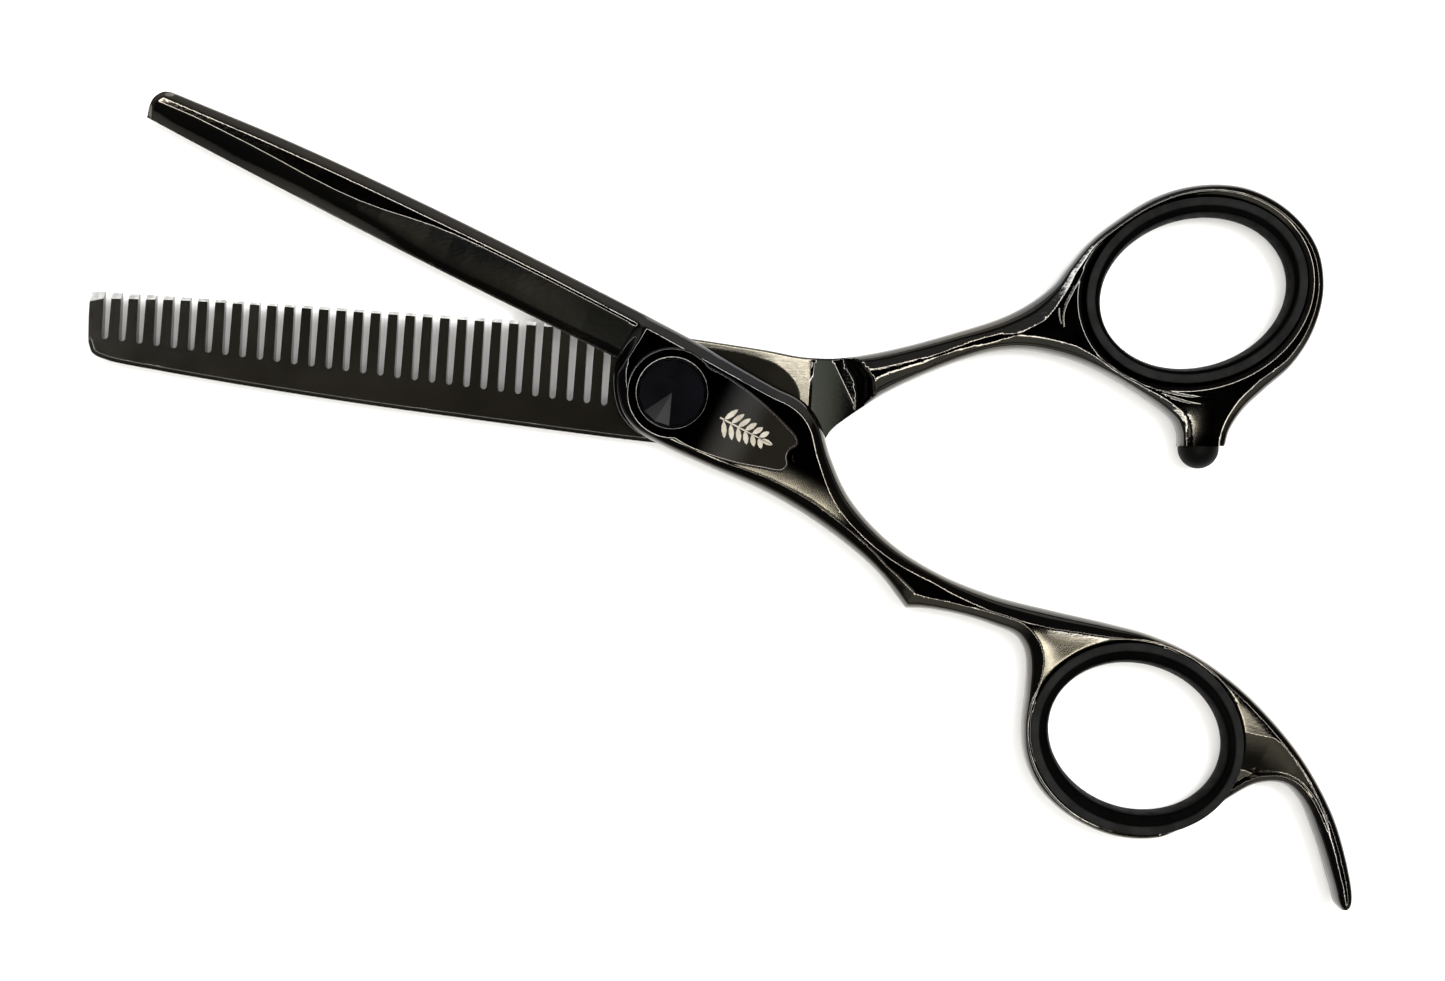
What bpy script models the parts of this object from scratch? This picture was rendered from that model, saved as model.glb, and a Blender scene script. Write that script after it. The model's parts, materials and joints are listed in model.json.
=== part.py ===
"""Hairdresser's thinning shears, 6 inch, with offset finger rings and a dial pivot.

The row frame has +X towards the finger rings, +Y towards the thumb ring and +Z up.
The origin is on the pivot axis, on the plane that the shears lie on.
Each half is drawn in its own frame, with its blade along -X and the pivot at the
origin, and is then turned about the pivot to its resting angle.
Lengths below are in millimetres; MM turns them into metres.
"""
import math

import bmesh
import bpy
import numpy as np
from mathutils import Matrix, Vector
from mathutils.geometry import delaunay_2d_cdt

MM = 0.001

# Resting angles of the two halves about the pivot (degrees)
TOOTHED_ANGLE = -4.0
PLAIN_ANGLE = -26.0

# Heights above the plane that the shears lie on
CONTACT_Z = 3.0          # the plane where the two blades meet
BLADE_GAP = 0.05         # running clearance between the blades
HANDLE_LOW_Z = 0.5
HANDLE_TOP_Z = 5.5
PAD_LOW_Z = 0.6
PAD_TOP_Z = 5.5
EDGE_DROP = 2.0          # how far a rounded handle edge falls at the outline
EDGE_ROUND = 1.9         # width of the rounded handle edge

# Comb of the toothed half
TOOTH_TIP_Y = 7.4
SLOT_COUNT = 30
SLOT_FIRST = (-67.3, 1.8)
SLOT_LAST = (-8.0, -1.9)
SLOT_TIP_WIDTH = 0.92
SLOT_ROOT_WIDTH = 0.76
COMB_TIP_THICKNESS = 1.1
COMB_SPINE_THICKNESS = 1.9

# Plain blade
BLADE_EDGE_THICKNESS = 0.2
BLADE_THICKNESS = 1.95
BLADE_TIP_SCALE = 0.7    # the blade thins towards its tip
SPINE_BEVEL_WIDTH = 1.6
SPINE_BEVEL_DROP = 0.8

# Steps from the thin pivot pads up to the thick handles (distance from the pivot axis)
STEP_INNER = 20.6
STEP_OUTER = 24.0
FACET_START = 16.0
FACET_DROP = 0.6

# Rings: the inserts' bores and lips are ellipses, given as half axes
LIP_OVERLAP = 0.75
LIP_THICKNESS = 0.45
INSERT_CLEARANCE = 0.05
BORE_BULGE = 0.7         # the insert's bore is narrower at mid height
THUMB_CENTRE = (60.4, 16.3)
THUMB_BORE = (11.2, 8.7)
THUMB_BORE_CENTRE = (60.45, 16.15)
THUMB_LIP = (13.1, 10.7)
THUMB_TILT = 19.6
FINGER_CENTRE = (66.6, -12.5)
FINGER_BORE = (10.35, 8.5)
FINGER_BORE_CENTRE = (66.65, -12.35)
FINGER_LIP = (12.6, 11.1)
FINGER_TILT = 8.9
RING_SIDES = 48

# Pivot
PIVOT_SIDES = 32
STUD_HEAD_RADIUS = 3.6
STUD_HEAD_TOP_Z = 0.55
STUD_NECK_RADIUS = 2.1
STUD_NECK_FLAT = 1.6     # distance of the two flats of the neck from the axis
STUD_SHANK_RADIUS = 1.5
STUD_TOP_Z = 6.75
SPANNER_HOLE_RADIUS = 0.45
SPANNER_HOLE_OFFSET = 2.3
SPANNER_HOLE_DEPTH = 0.3
FIT = 0.05               # clearance of parts that are held in or turn on others
RACE_BORE = 2.3
RACE_RADIUS = 4.6
RACE_THICKNESS = 0.4
RACE_SEAT_LOW_Z = 2.3
RACE_SEAT_TOP_Z = 4.1
BALL_RADIUS = 0.42
BALL_Z = 3.2
BALL_COUNT = 8
BALL_CIRCLE = 3.5
CAGE_THICKNESS = 0.4
BUSH_RADIUS = 2.2
BUSH_TOP_Z = 4.9
PLATE_THICKNESS = 0.4
PLATE_HEAD_RADIUS = 5.35
PLATE_HEAD_TURN = 61.5
NOTCH_RADIUS = 1.25
NOTCH_HALF_TURN = 55.0
PIN_PLACE = (16.5, -0.35)
PIN_RADIUS = 0.6
PIN_LOW_Z = 4.6
PIN_TOP_Z = 5.9
DIAL_RADIUS = 4.25
DIAL_LOW_Z = 6.0
DIAL_TOP_Z = 7.1
DIAL_HUB_RADIUS = 2.1
DIAL_HUB_LOW_Z = 5.0
DIAL_POCKET_RADIUS = 3.5
DIAL_POCKET_TOP_Z = 6.55
DIAL_SEAT_RADIUS = 3.9
DIAL_SEAT_Z = 6.8
JEWEL_GIRDLE_Z = 7.05
JEWEL_POINT_Z = 7.4
JEWEL_FACETS = 16

# Bumper under the thumb ring
BUMPER_X = 62.0          # in the row frame
BUMPER_END_Y = -8.8
BUMPER_RADIUS = 2.4
BUMPER_BASE_Y = -6.25
BUMPER_STEM_RADIUS = 1.0
BUMPER_STEM_TOP_Y = -3.0
BUMPER_NECK_END_Y = -6.15

# Outlines: the points that each smooth run passes through
COMB_FRONT = [(-69.4, 7.4), (-69.35, 4.2), (-69.2, 1.2)]
COMB_SPINE = [(-69.2, 1.2), (-68.7, 0.1), (-67.2, -0.55), (-60.2, -1.5), (-39.8, -3.45),
              (-19.5, -4.85), (-4.2, -5.75), (4.0, -6.0), (12.0, -5.9), (16.4, -5.4), (18.2, -4.3)]
THUMB_SHANK_LOW = [(18.2, -4.3), (19.0, -2.9), (21.0, -1.1), (25.1, 1.9), (29.6, 4.4),
                   (34.2, 6.5), (38.0, 7.7), (41.5, 8.05), (46.4, 7.35), (50.6, 5.9),
                   (54.8, 3.8), (57.6, 2.1), (59.1, 0.8), (59.7, -0.6), (59.8, -2.0)]
THUMB_RING = [(65.2, -1.65), (65.6, 0.2), (67.1, 2.8), (69.4, 5.3), (72.4, 8.4), (74.6, 12.5),
              (75.5, 17.5), (74.4, 22.4), (71.0, 26.4), (65.9, 28.8), (60.4, 28.9),
              (55.2, 27.2), (50.0, 23.5), (47.4, 21.0), (45.3, 18.1), (43.9, 16.0), (41.4, 13.7),
              (38.1, 11.7), (32.6, 9.5), (26.9, 7.5), (23.1, 6.4), (19.1, 5.6), (15.0, 5.45),
              (11.0, 5.9), (2.9, 6.6), (-3.0, 7.05), (-6.9, 7.3)]
BLADE_TIP = [(-68.6, 6.1), (-69.4, 5.7), (-70.1, 4.6), (-70.2, 3.2), (-70.0, 2.15)]
BLADE_EDGE = [(-70.0, 2.15), (-61.0, 1.8), (-35.0, 1.15), (-8.2, 0.9)]
PLAIN_PAD = [(-8.2, 0.9), (-7.75, 0.9), (-7.4, -0.5), (-6.4, -2.6), (-4.6, -4.7), (-2.2, -5.8),
             (1.0, -6.0), (8.0, -5.85), (14.5, -5.55), (20.0, -5.9), (26.0, -6.9), (31.0, -8.3),
             (35.7, -10.6)]
FINGER_RING_LOW = [(35.7, -10.6), (38.0, -9.6), (42.0, -8.5), (46.0, -7.9), (48.7, -7.8),
                   (50.3, -8.7), (51.3, -10.0), (52.7, -13.2), (54.0, -16.8), (55.9, -20.1),
                   (58.8, -22.6), (63.2, -24.1), (68.4, -24.15), (72.6, -22.8), (76.0, -20.4), (78.2, -17.3),
                   (79.9, -14.0), (82.0, -11.1), (84.8, -9.75), (87.4, -10.6), (90.9, -13.6),
                   (94.9, -17.9), (96.6, -19.8), (97.5, -20.1), (98.1, -19.3)]
FINGER_TOP = [(98.1, -19.3), (97.4, -17.6), (94.0, -13.1), (90.7, -9.8), (84.9, -5.8),
              (78.5, -2.9), (73.4, -1.4), (68.2, -0.65), (62.8, -0.85), (57.7, -1.85),
              (51.1, -3.4), (44.2, -4.8), (37.3, -5.25), (30.6, -4.45), (24.2, -1.9),
              (20.0, 1.5), (17.5, 4.2), (15.7, 5.45), (13.4, 6.1), (10.8, 6.1), (6.3, 6.3),
              (-0.8, 6.75), (-18.3, 7.15), (-35.5, 7.3), (-52.7, 7.0), (-68.6, 6.1)]
PLATE_TOP_SIDE = [(15.85, 1.2), (15.3, 1.8), (13.0, 2.75), (10.5, 3.55), (8.0, 4.15), (5.0, 4.6)]
PLATE_LOW_SIDE = [(4.5, -4.85), (8.0, -4.5), (10.5, -4.05), (13.0, -3.35), (15.4, -2.6),
                  (15.85, -2.0)]


def clear_scene():
    for old in list(bpy.data.objects):
        bpy.data.objects.remove(old, do_unlink=True)


def finish_material(name, colour, roughness, metallic):
    """A Principled finish for one piece."""
    finish = bpy.data.materials.new(name)
    finish.use_nodes = True
    shader = finish.node_tree.nodes["Principled BSDF"]
    shader.inputs["Base Color"].default_value = (*colour, 1.0)
    shader.inputs["Roughness"].default_value = roughness
    shader.inputs["Metallic"].default_value = metallic
    return finish


def black_steel(name):
    return finish_material(name, (0.020, 0.019, 0.018), 0.12, 1.0)


def bare_steel(name):
    return finish_material(name, (0.55, 0.55, 0.56), 0.25, 1.0)


def black_rubber(name):
    return finish_material(name, (0.018, 0.018, 0.018), 0.55, 0.0)


def add_object(name, bm, finish, frame=None):
    """Turn a bmesh drawn in millimetres into an object that sits in the given frame."""
    bmesh.ops.scale(bm, vec=(MM, MM, MM), verts=bm.verts)
    bmesh.ops.recalc_face_normals(bm, faces=bm.faces)
    mesh = bpy.data.meshes.new(name)
    bm.to_mesh(mesh)
    bm.free()
    mesh.shade_smooth()
    mesh.set_sharp_from_angle(angle=math.radians(35))
    piece = bpy.data.objects.new(name, mesh)
    piece.data.materials.append(finish)
    bpy.context.collection.objects.link(piece)
    piece.parent = frame
    return piece


def add_frame(name, degrees):
    """An empty on the pivot axis, turned to a half's resting angle."""
    frame = bpy.data.objects.new(name, None)
    frame.rotation_euler = (0.0, 0.0, math.radians(degrees))
    bpy.context.collection.objects.link(frame)
    return frame


def cut_with(piece, cutter_mesh, name, frame=None):
    """Subtract a closed mesh, drawn in millimetres, from a piece."""
    cutter = add_object(name, cutter_mesh, black_steel(name), frame)
    cutter.hide_render = True
    cutter.display_type = 'WIRE'
    cut = piece.modifiers.new(name, 'BOOLEAN')
    cut.operation = 'DIFFERENCE'
    cut.solver = 'EXACT'
    cut.object = cutter


# Curves and plane geometry

def smooth_run(points, spacing):
    """Points along a centripetal Catmull-Rom curve, without the last one."""
    control = np.array(points, float)
    first = 2 * control[0] - control[1]
    last = 2 * control[-1] - control[-2]
    control = np.vstack([first, control, last])
    run = []
    for a, b, c, d in zip(control, control[1:], control[2:], control[3:]):
        knots = np.cumsum([0.0] + [math.sqrt(math.dist(p, q)) for p, q in ((a, b), (b, c), (c, d))])
        count = max(1, round(math.dist(b, c) / spacing))
        for step in range(count):
            t = knots[1] + (knots[2] - knots[1]) * step / count
            run.append(barry_goldman((a, b, c, d), knots, t))
    return run


def barry_goldman(corners, knots, t):
    """One point of a centripetal Catmull-Rom curve."""
    level = list(corners)
    for order in (1, 2):
        level = [blend_points(level[i], level[i + 1], knots[i], knots[i + order], t)
                 for i in range(len(level) - 1)]
    return tuple(blend_points(level[0], level[1], knots[1], knots[2], t))


def blend_points(low, high, start, end, t):
    return ((end - t) * low + (t - start) * high) / (end - start)


def closed_outline(runs, spacing):
    """Join smooth runs that meet at corners; a run that stops short leaves a straight side."""
    outline = []
    for run in runs:
        outline += smooth_run(run, spacing)
        outline.append(tuple(run[-1]))
    kept = [outline[0]]
    for point in outline[1:]:
        if math.dist(point, kept[-1]) > 0.01:
            kept.append(point)
    if math.dist(kept[0], kept[-1]) <= 0.01:
        kept.pop()
    return kept


def ellipse(centre, half_axes, tilt_degrees, sides=RING_SIDES):
    tilt = math.radians(tilt_degrees)
    points = []
    for step in range(sides):
        turn = 2 * math.pi * step / sides
        x = half_axes[0] * math.cos(turn)
        y = half_axes[1] * math.sin(turn)
        points.append((centre[0] + x * math.cos(tilt) - y * math.sin(tilt),
                       centre[1] + x * math.sin(tilt) + y * math.cos(tilt)))
    return points


def circle(radius, centre=(0.0, 0.0), sides=PIVOT_SIDES):
    return ellipse(centre, (radius, radius), 0.0, sides)


def grown(half_axes, amount):
    return (half_axes[0] + amount, half_axes[1] + amount)


def distance_to_loop(points, loop):
    """Shortest distance from each point to a closed loop of straight sides."""
    start = np.array(loop)
    side = np.roll(start, -1, axis=0) - start
    offset = points[:, None, :] - start[None, :, :]
    along = np.clip((offset * side).sum(2) / (side ** 2).sum(1), 0.0, 1.0)
    nearest = offset - along[:, :, None] * side[None, :, :]
    return np.sqrt((nearest ** 2).sum(2)).min(1)


def inside_loop(points, loop):
    """Even-odd test of points against a closed loop."""
    start = np.array(loop)
    end = np.roll(start, -1, axis=0)
    x, y = points[:, 0][:, None], points[:, 1][:, None]
    crosses = (start[:, 1] > y) != (end[:, 1] > y)
    rise = np.where(end[:, 1] == start[:, 1], 1.0, end[:, 1] - start[:, 1])
    meet = start[:, 0] + (y - start[:, 1]) * (end[:, 0] - start[:, 0]) / rise
    return (np.sum(crosses & (x < meet), axis=1) % 2) == 1


def inset_points(loop, inward, widths):
    """Points at set distances inside a loop, left out where the loop is too tight."""
    corner = np.array(loop)
    tangent = np.roll(corner, -1, axis=0) - np.roll(corner, 1, axis=0)
    tangent /= np.linalg.norm(tangent, axis=1)[:, None]
    normal = np.column_stack([-tangent[:, 1], tangent[:, 0]]) * inward
    inner = []
    for width in widths:
        moved = corner + normal * width
        clear = distance_to_loop(moved, loop) > 0.97 * width
        inner += [tuple(point) for point in moved[clear]]
    return inner


def signed_area(loop):
    return 0.5 * sum(a[0] * b[1] - b[0] * a[1] for a, b in zip(loop, loop[1:] + loop[:1]))


def relief_body(outline, holes, low_height, top_height, widths, crease_points):
    """A closed body over an outline with holes, between two height functions.

    Each height function takes x, y and the distance to the outer outline.
    """
    turn = 1.0 if signed_area(outline) > 0 else -1.0
    loops = [outline] + holes
    inner = inset_points(outline, turn, widths) + list(crease_points)
    sites = np.array(inner)
    keep = inside_loop(sites, outline) & (distance_to_loop(sites, outline) > 0.2)
    for hole in holes:
        keep &= ~inside_loop(sites, hole) & (distance_to_loop(sites, hole) > 0.3)
    points, edges = [], []
    for loop in loops:
        first = len(points)
        points += loop
        edges += [(first + i, first + (i + 1) % len(loop)) for i in range(len(loop))]
    rim_count = len(points)
    points += [tuple(site) for site in sites[keep]]
    found = delaunay_2d_cdt([Vector(p) for p in points], edges, [], 0, 1e-6)
    place = np.array([tuple(v) for v in found[0]])
    faces = np.array([tuple(f) for f in found[2]])
    middle = place[faces].mean(axis=1)
    kept = inside_loop(middle, outline)
    for hole in holes:
        kept &= ~inside_loop(middle, hole)
    faces = faces[kept]
    depth = distance_to_loop(place, outline)
    low = low_height(place[:, 0], place[:, 1], depth)
    top = top_height(place[:, 0], place[:, 1], depth)
    return two_skins(place, faces, low, top, rim_count)


def two_skins(place, faces, low, top, rim_count):
    """Join a lower and an upper skin over the same triangles with a wall at every rim."""
    bm = bmesh.new()
    under = [bm.verts.new((x, y, z)) for (x, y), z in zip(place, low)]
    over = [bm.verts.new((x, y, z)) for (x, y), z in zip(place, top)]
    sides = {}
    for a, b, c in faces.tolist():
        cross = ((place[b][0] - place[a][0]) * (place[c][1] - place[a][1])
                 - (place[c][0] - place[a][0]) * (place[b][1] - place[a][1]))
        if cross < 0:
            b, c = c, b
        bm.faces.new((over[a], over[b], over[c]))
        bm.faces.new((under[c], under[b], under[a]))
        for start, end in ((a, b), (b, c), (c, a)):
            sides[(start, end)] = True
    for start, end in sides:
        if (end, start) not in sides:
            bm.faces.new((over[end], over[start], under[start], under[end]))
    loose = [v for v in bm.verts if not v.link_faces]
    bmesh.ops.delete(bm, geom=loose, context='VERTS')
    return bm


def prism(loop, low, top):
    """A straight-sided body over a loop."""
    bm = bmesh.new()
    base = [bm.verts.new((x, y, low)) for x, y in loop]
    face = bm.faces.new(base)
    raised = bmesh.ops.extrude_face_region(bm, geom=[face])
    lifted = [v for v in raised["geom"] if isinstance(v, bmesh.types.BMVert)]
    bmesh.ops.translate(bm, verts=lifted, vec=(0, 0, top - low))
    return bm


def turned(profile, sides=PIVOT_SIDES):
    """A body turned about the pivot axis; the profile is (radius, height) and is closed
    by the axis where its ends have no radius, or by joining its ends."""
    bm = bmesh.new()
    rows = []
    for radius, height in profile:
        if radius < 1e-9:
            rows.append([bm.verts.new((0.0, 0.0, height))])
        else:
            rows.append([bm.verts.new((x, y, height)) for x, y in circle(radius, sides=sides)])
    pairs = list(zip(rows, rows[1:]))
    if len(rows[0]) > 1:
        pairs.append((rows[-1], rows[0]))
    for lower, upper in pairs:
        for i in range(sides):
            corners = [lower[i % len(lower)], lower[(i + 1) % len(lower)],
                       upper[(i + 1) % len(upper)], upper[i % len(upper)]]
            unique = list(dict.fromkeys(corners))
            if len(unique) > 2:
                bm.faces.new(unique)
    return bm


def tube(inner, outer, low, top):
    return turned([(outer, low), (outer, top), (inner, top), (inner, low)])


def disc(radius, low, top, centre=(0.0, 0.0), sides=PIVOT_SIDES):
    return prism(circle(radius, centre, sides), low, top)


def two_flats(radius, flat):
    """A circle cut by two flats, as a key."""
    limit = math.acos(flat / radius)
    points = []
    for middle in (math.pi / 2, 3 * math.pi / 2):
        half = math.pi / 2 - limit
        for step in range(9):
            turn = middle - half + 2 * half * step / 8
            points.append((radius * math.cos(turn), radius * math.sin(turn)))
    return points


# Height functions shared by the two halves

def smooth_step(value):
    value = np.clip(value, 0.0, 1.0)
    return value * value * (3.0 - 2.0 * value)


def edge_fall(depth):
    """How far a rounded handle edge lies below the handle's flat."""
    across = np.clip(1.0 - depth / EDGE_ROUND, 0.0, 1.0)
    return EDGE_DROP * (1.0 - np.sqrt(1.0 - across ** 2))


def level(height):
    """A height function for a flat face."""
    return lambda x, y, depth: height + 0.0 * x


def step_share(x, y):
    """0 on the thin pad, 1 on the thick handle."""
    return smooth_step((np.hypot(x, y) - STEP_INNER) / (STEP_OUTER - STEP_INNER)) * (x > 0)


def arc_points(radius, spacing=0.8):
    """Points on an arc about the pivot, on the handle side."""
    count = int(radius * math.pi / spacing)
    turns = [math.pi * (step / count - 0.5) for step in range(count + 1)]
    return [(radius * math.cos(turn), radius * math.sin(turn)) for turn in turns]


# Toothed half

def slot_places():
    """Lowest point of every slot of the comb, from the blade's tip to the pivot."""
    places = []
    for slot in range(SLOT_COUNT):
        share = slot / (SLOT_COUNT - 1)
        places.append((SLOT_FIRST[0] + share * (SLOT_LAST[0] - SLOT_FIRST[0]),
                       SLOT_FIRST[1] + share * (SLOT_LAST[1] - SLOT_FIRST[1])))
    return places


def comb_teeth():
    """The toothed edge, walked from the pivot to the tip, with round slot roots."""
    mouth = SLOT_TIP_WIDTH / 2
    root = SLOT_ROOT_WIDTH / 2
    edge = []
    for x, y in reversed(slot_places()):
        edge.append((x + mouth, TOOTH_TIP_Y))
        for step in range(5):
            turn = -math.pi * step / 4
            edge.append((x + root * math.cos(turn), y + root + root * math.sin(turn)))
        edge.append((x - mouth, TOOTH_TIP_Y))
    return edge


def toothed_outline():
    runs = [COMB_FRONT, COMB_SPINE, THUMB_SHANK_LOW, THUMB_RING]
    return closed_outline(runs, 3.0) + comb_teeth()


def toothed_low(x, y, depth):
    """The outer face, which lies downwards."""
    share = np.clip((TOOTH_TIP_Y - y) / (TOOTH_TIP_Y + 5.0), 0.0, 1.0)
    blade = CONTACT_Z - COMB_TIP_THICKNESS - share * (COMB_SPINE_THICKNESS - COMB_TIP_THICKNESS)
    spine_x, spine_y = np.array(COMB_SPINE[2:7]).T
    from_spine = np.clip(y - np.interp(x, spine_x, spine_y), 0.0, SPINE_BEVEL_WIDTH)
    blade += 0.5 * (1.0 - from_spine / SPINE_BEVEL_WIDTH)
    handle = HANDLE_LOW_Z + edge_fall(depth)
    pad = np.maximum(PAD_LOW_Z, PAD_LOW_Z + 0.8 - depth)
    to_pad = smooth_step((x + 9.0) / 3.0)
    to_handle = smooth_step((x - 14.0) / 8.0)
    low = blade + (pad - blade) * to_pad
    return low + (handle - low) * to_handle


def toothed_top(x, y, depth):
    """The inner face, with the sloping facet and the step up to the handle."""
    facet = CONTACT_Z - FACET_DROP * np.clip((x - FACET_START) / 4.5, 0.0, 1.0)
    handle = HANDLE_TOP_Z - edge_fall(depth)
    return facet + (handle - facet) * step_share(x, y)


def toothed_half(frame):
    """Comb blade and thumb handle in one piece."""
    outline = toothed_outline()
    bore = ellipse(THUMB_CENTRE, grown(THUMB_LIP, -LIP_OVERLAP), THUMB_TILT)
    key = two_flats(STUD_NECK_RADIUS + FIT, STUD_NECK_FLAT + FIT)
    creases = arc_points(STEP_INNER) + arc_points((STEP_INNER + STEP_OUTER) / 2)
    creases += arc_points(STEP_OUTER)
    creases += [(FACET_START, y) for y in range(-4, 6)]
    creases += [(x, y) for x in (-9.0, -6.0, 14.0) for y in range(-5, 7, 2)]
    bm = relief_body(outline, [bore, key], toothed_low, toothed_top, (0.5, 1.9), creases)
    half = add_object("toothed_half", bm, black_steel("toothed_half"), frame)
    seat = disc(RACE_RADIUS + FIT, RACE_SEAT_LOW_Z, CONTACT_Z + 1.0)
    cut_with(half, seat, "lower_race_seat", frame)
    return half


def bumper_socket(half):
    """The blind hole for the bumper's stem."""
    reach = BUMPER_STEM_TOP_Y + 0.1 - (BUMPER_NECK_END_Y - 2.0)
    hole = disc(BUMPER_STEM_RADIUS + FIT, 0.0, reach, sides=20)
    bmesh.ops.transform(hole, verts=hole.verts, matrix=bumper_place(BUMPER_NECK_END_Y - 2.0))
    cut_with(half, hole, "bumper_socket")


def bumper_place(y):
    """From the turning axis to the bumper's axis, which runs along +Y of the row frame."""
    lie_down = Matrix.Rotation(math.radians(-90), 4, 'X')
    return Matrix.Translation((BUMPER_X, y, CONTACT_Z)) @ lie_down


def rubber_bumper():
    """Ball-ended stop with a stem."""
    head = BUMPER_BASE_Y - BUMPER_END_Y
    profile = [(0.0, 0.0)]
    for step in range(1, 7):
        turn = math.pi / 2 * step / 6
        profile.append((BUMPER_RADIUS * math.sin(turn), head * (1 - math.cos(turn)) * 0.85))
    profile += [(BUMPER_RADIUS, head), (BUMPER_STEM_RADIUS, head)]
    profile += [(BUMPER_STEM_RADIUS, BUMPER_STEM_TOP_Y - BUMPER_END_Y),
                (0.0, BUMPER_STEM_TOP_Y - BUMPER_END_Y)]
    bm = turned(profile, sides=24)
    bmesh.ops.transform(bm, verts=bm.verts, matrix=bumper_place(BUMPER_END_Y))
    return add_object("rubber_bumper", bm, black_rubber("rubber_bumper"))


# Plain half

def plain_outline():
    return closed_outline([BLADE_TIP, BLADE_EDGE, PLAIN_PAD, FINGER_RING_LOW, FINGER_TOP], 3.0)


def plain_top(x, y, depth):
    """The outer face: convex blade with a spine bevel, pivot pad and round-edged handle."""
    edge_x, edge_y = np.array(BLADE_EDGE).T
    spine_x, spine_y = np.array(FINGER_TOP[:-6:-1]).T
    width = np.interp(x, spine_x, spine_y) - np.interp(x, edge_x, edge_y)
    from_spine = np.clip(np.interp(x, spine_x, spine_y) - y, 0.0, width)
    rise = np.clip((width - from_spine) / (width - SPINE_BEVEL_WIDTH), 0.0, 1.0)
    taper = BLADE_TIP_SCALE + (1.0 - BLADE_TIP_SCALE) * np.clip((x + 70.0) / 60.0, 0.0, 1.0)
    thickness = BLADE_EDGE_THICKNESS + (BLADE_THICKNESS - BLADE_EDGE_THICKNESS) * taper * (
        1.0 - (1.0 - rise) ** 1.6)
    bevel = SPINE_BEVEL_DROP * taper * np.clip(1.0 - from_spine / SPINE_BEVEL_WIDTH, 0.0, 1.0)
    blade = CONTACT_Z + BLADE_GAP + thickness - bevel
    pad = PAD_TOP_Z - np.clip(0.9 - depth, 0.0, 0.9)
    handle = HANDLE_TOP_Z - edge_fall(depth)
    to_pad = smooth_step((x + 9.0) / 3.0)
    to_handle = smooth_step((x - 12.0) / 8.0)
    top = blade + (pad - blade) * to_pad
    return top + (handle - top) * to_handle


def plain_low(x, y, depth):
    """The inner face, flat against the other half, stepping down to the handle."""
    flat = CONTACT_Z + BLADE_GAP + 0.0 * x
    handle = HANDLE_LOW_Z + edge_fall(depth)
    return flat + (handle - flat) * step_share(x, y)


def plain_half(frame):
    """Plain cutting blade, finger handle and finger rest in one piece."""
    bore = ellipse(FINGER_CENTRE, grown(FINGER_LIP, -LIP_OVERLAP), FINGER_TILT)
    hub = circle(BUSH_RADIUS + FIT)
    creases = arc_points(STEP_INNER) + arc_points((STEP_INNER + STEP_OUTER) / 2)
    creases += arc_points(STEP_OUTER)
    creases += [(x, y) for x in (-9.0, -6.0, 12.0) for y in range(-5, 7, 2)]
    bm = relief_body(plain_outline(), [bore, hub], plain_low, plain_top, (0.5, 1.6), creases)
    half = add_object("plain_half", bm, black_steel("plain_half"), frame)
    seat = disc(RACE_RADIUS + FIT, CONTACT_Z - 1.0, RACE_SEAT_TOP_Z)
    cut_with(half, seat, "upper_race_seat", frame)
    pin_hole = disc(PIN_RADIUS + FIT, PIN_LOW_Z - FIT, PAD_TOP_Z + 1.0, PIN_PLACE, 20)
    cut_with(half, pin_hole, "pin_hole", frame)
    return half


# Ring inserts

def ring_insert(name, centre, bore, bore_centre, lip, tilt, frame):
    """Rubber spool that snaps into a ring: a lip on each face and a bulged bore."""
    top = HANDLE_TOP_Z + INSERT_CLEARANCE + LIP_THICKNESS
    low = HANDLE_LOW_Z - INSERT_CLEARANCE - LIP_THICKNESS
    neck = grown(lip, -LIP_OVERLAP - INSERT_CLEARANCE)
    mouth = grown(bore, BORE_BULGE)
    middle_z = (top + low) / 2
    rows = [(centre, lip, low + 0.15), (centre, lip, low + LIP_THICKNESS),
            (centre, neck, low + LIP_THICKNESS), (centre, neck, top - LIP_THICKNESS),
            (centre, lip, top - LIP_THICKNESS), (centre, lip, top - 0.15),
            (centre, grown(lip, -0.2), top), (bore_centre, grown(mouth, 0.1), top),
            (bore_centre, mouth, top - 0.3), (bore_centre, grown(bore, 0.2), top - 1.5),
            (bore_centre, bore, middle_z), (bore_centre, grown(bore, 0.2), low + 1.5),
            (bore_centre, mouth, low + 0.3), (bore_centre, grown(mouth, 0.1), low),
            (centre, grown(lip, -0.2), low)]
    bm = bmesh.new()
    rings = []
    for place, half_axes, z in rows:
        rings.append([bm.verts.new((x, y, z)) for x, y in ellipse(place, half_axes, tilt)])
    for lower, upper in zip(rings, rings[1:] + rings[:1]):
        for i in range(RING_SIDES):
            j = (i + 1) % RING_SIDES
            bm.faces.new((lower[i], lower[j], upper[j], upper[i]))
    return add_object(name, bm, black_rubber(name), frame)


# Pivot pieces, from the bottom up

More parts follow.
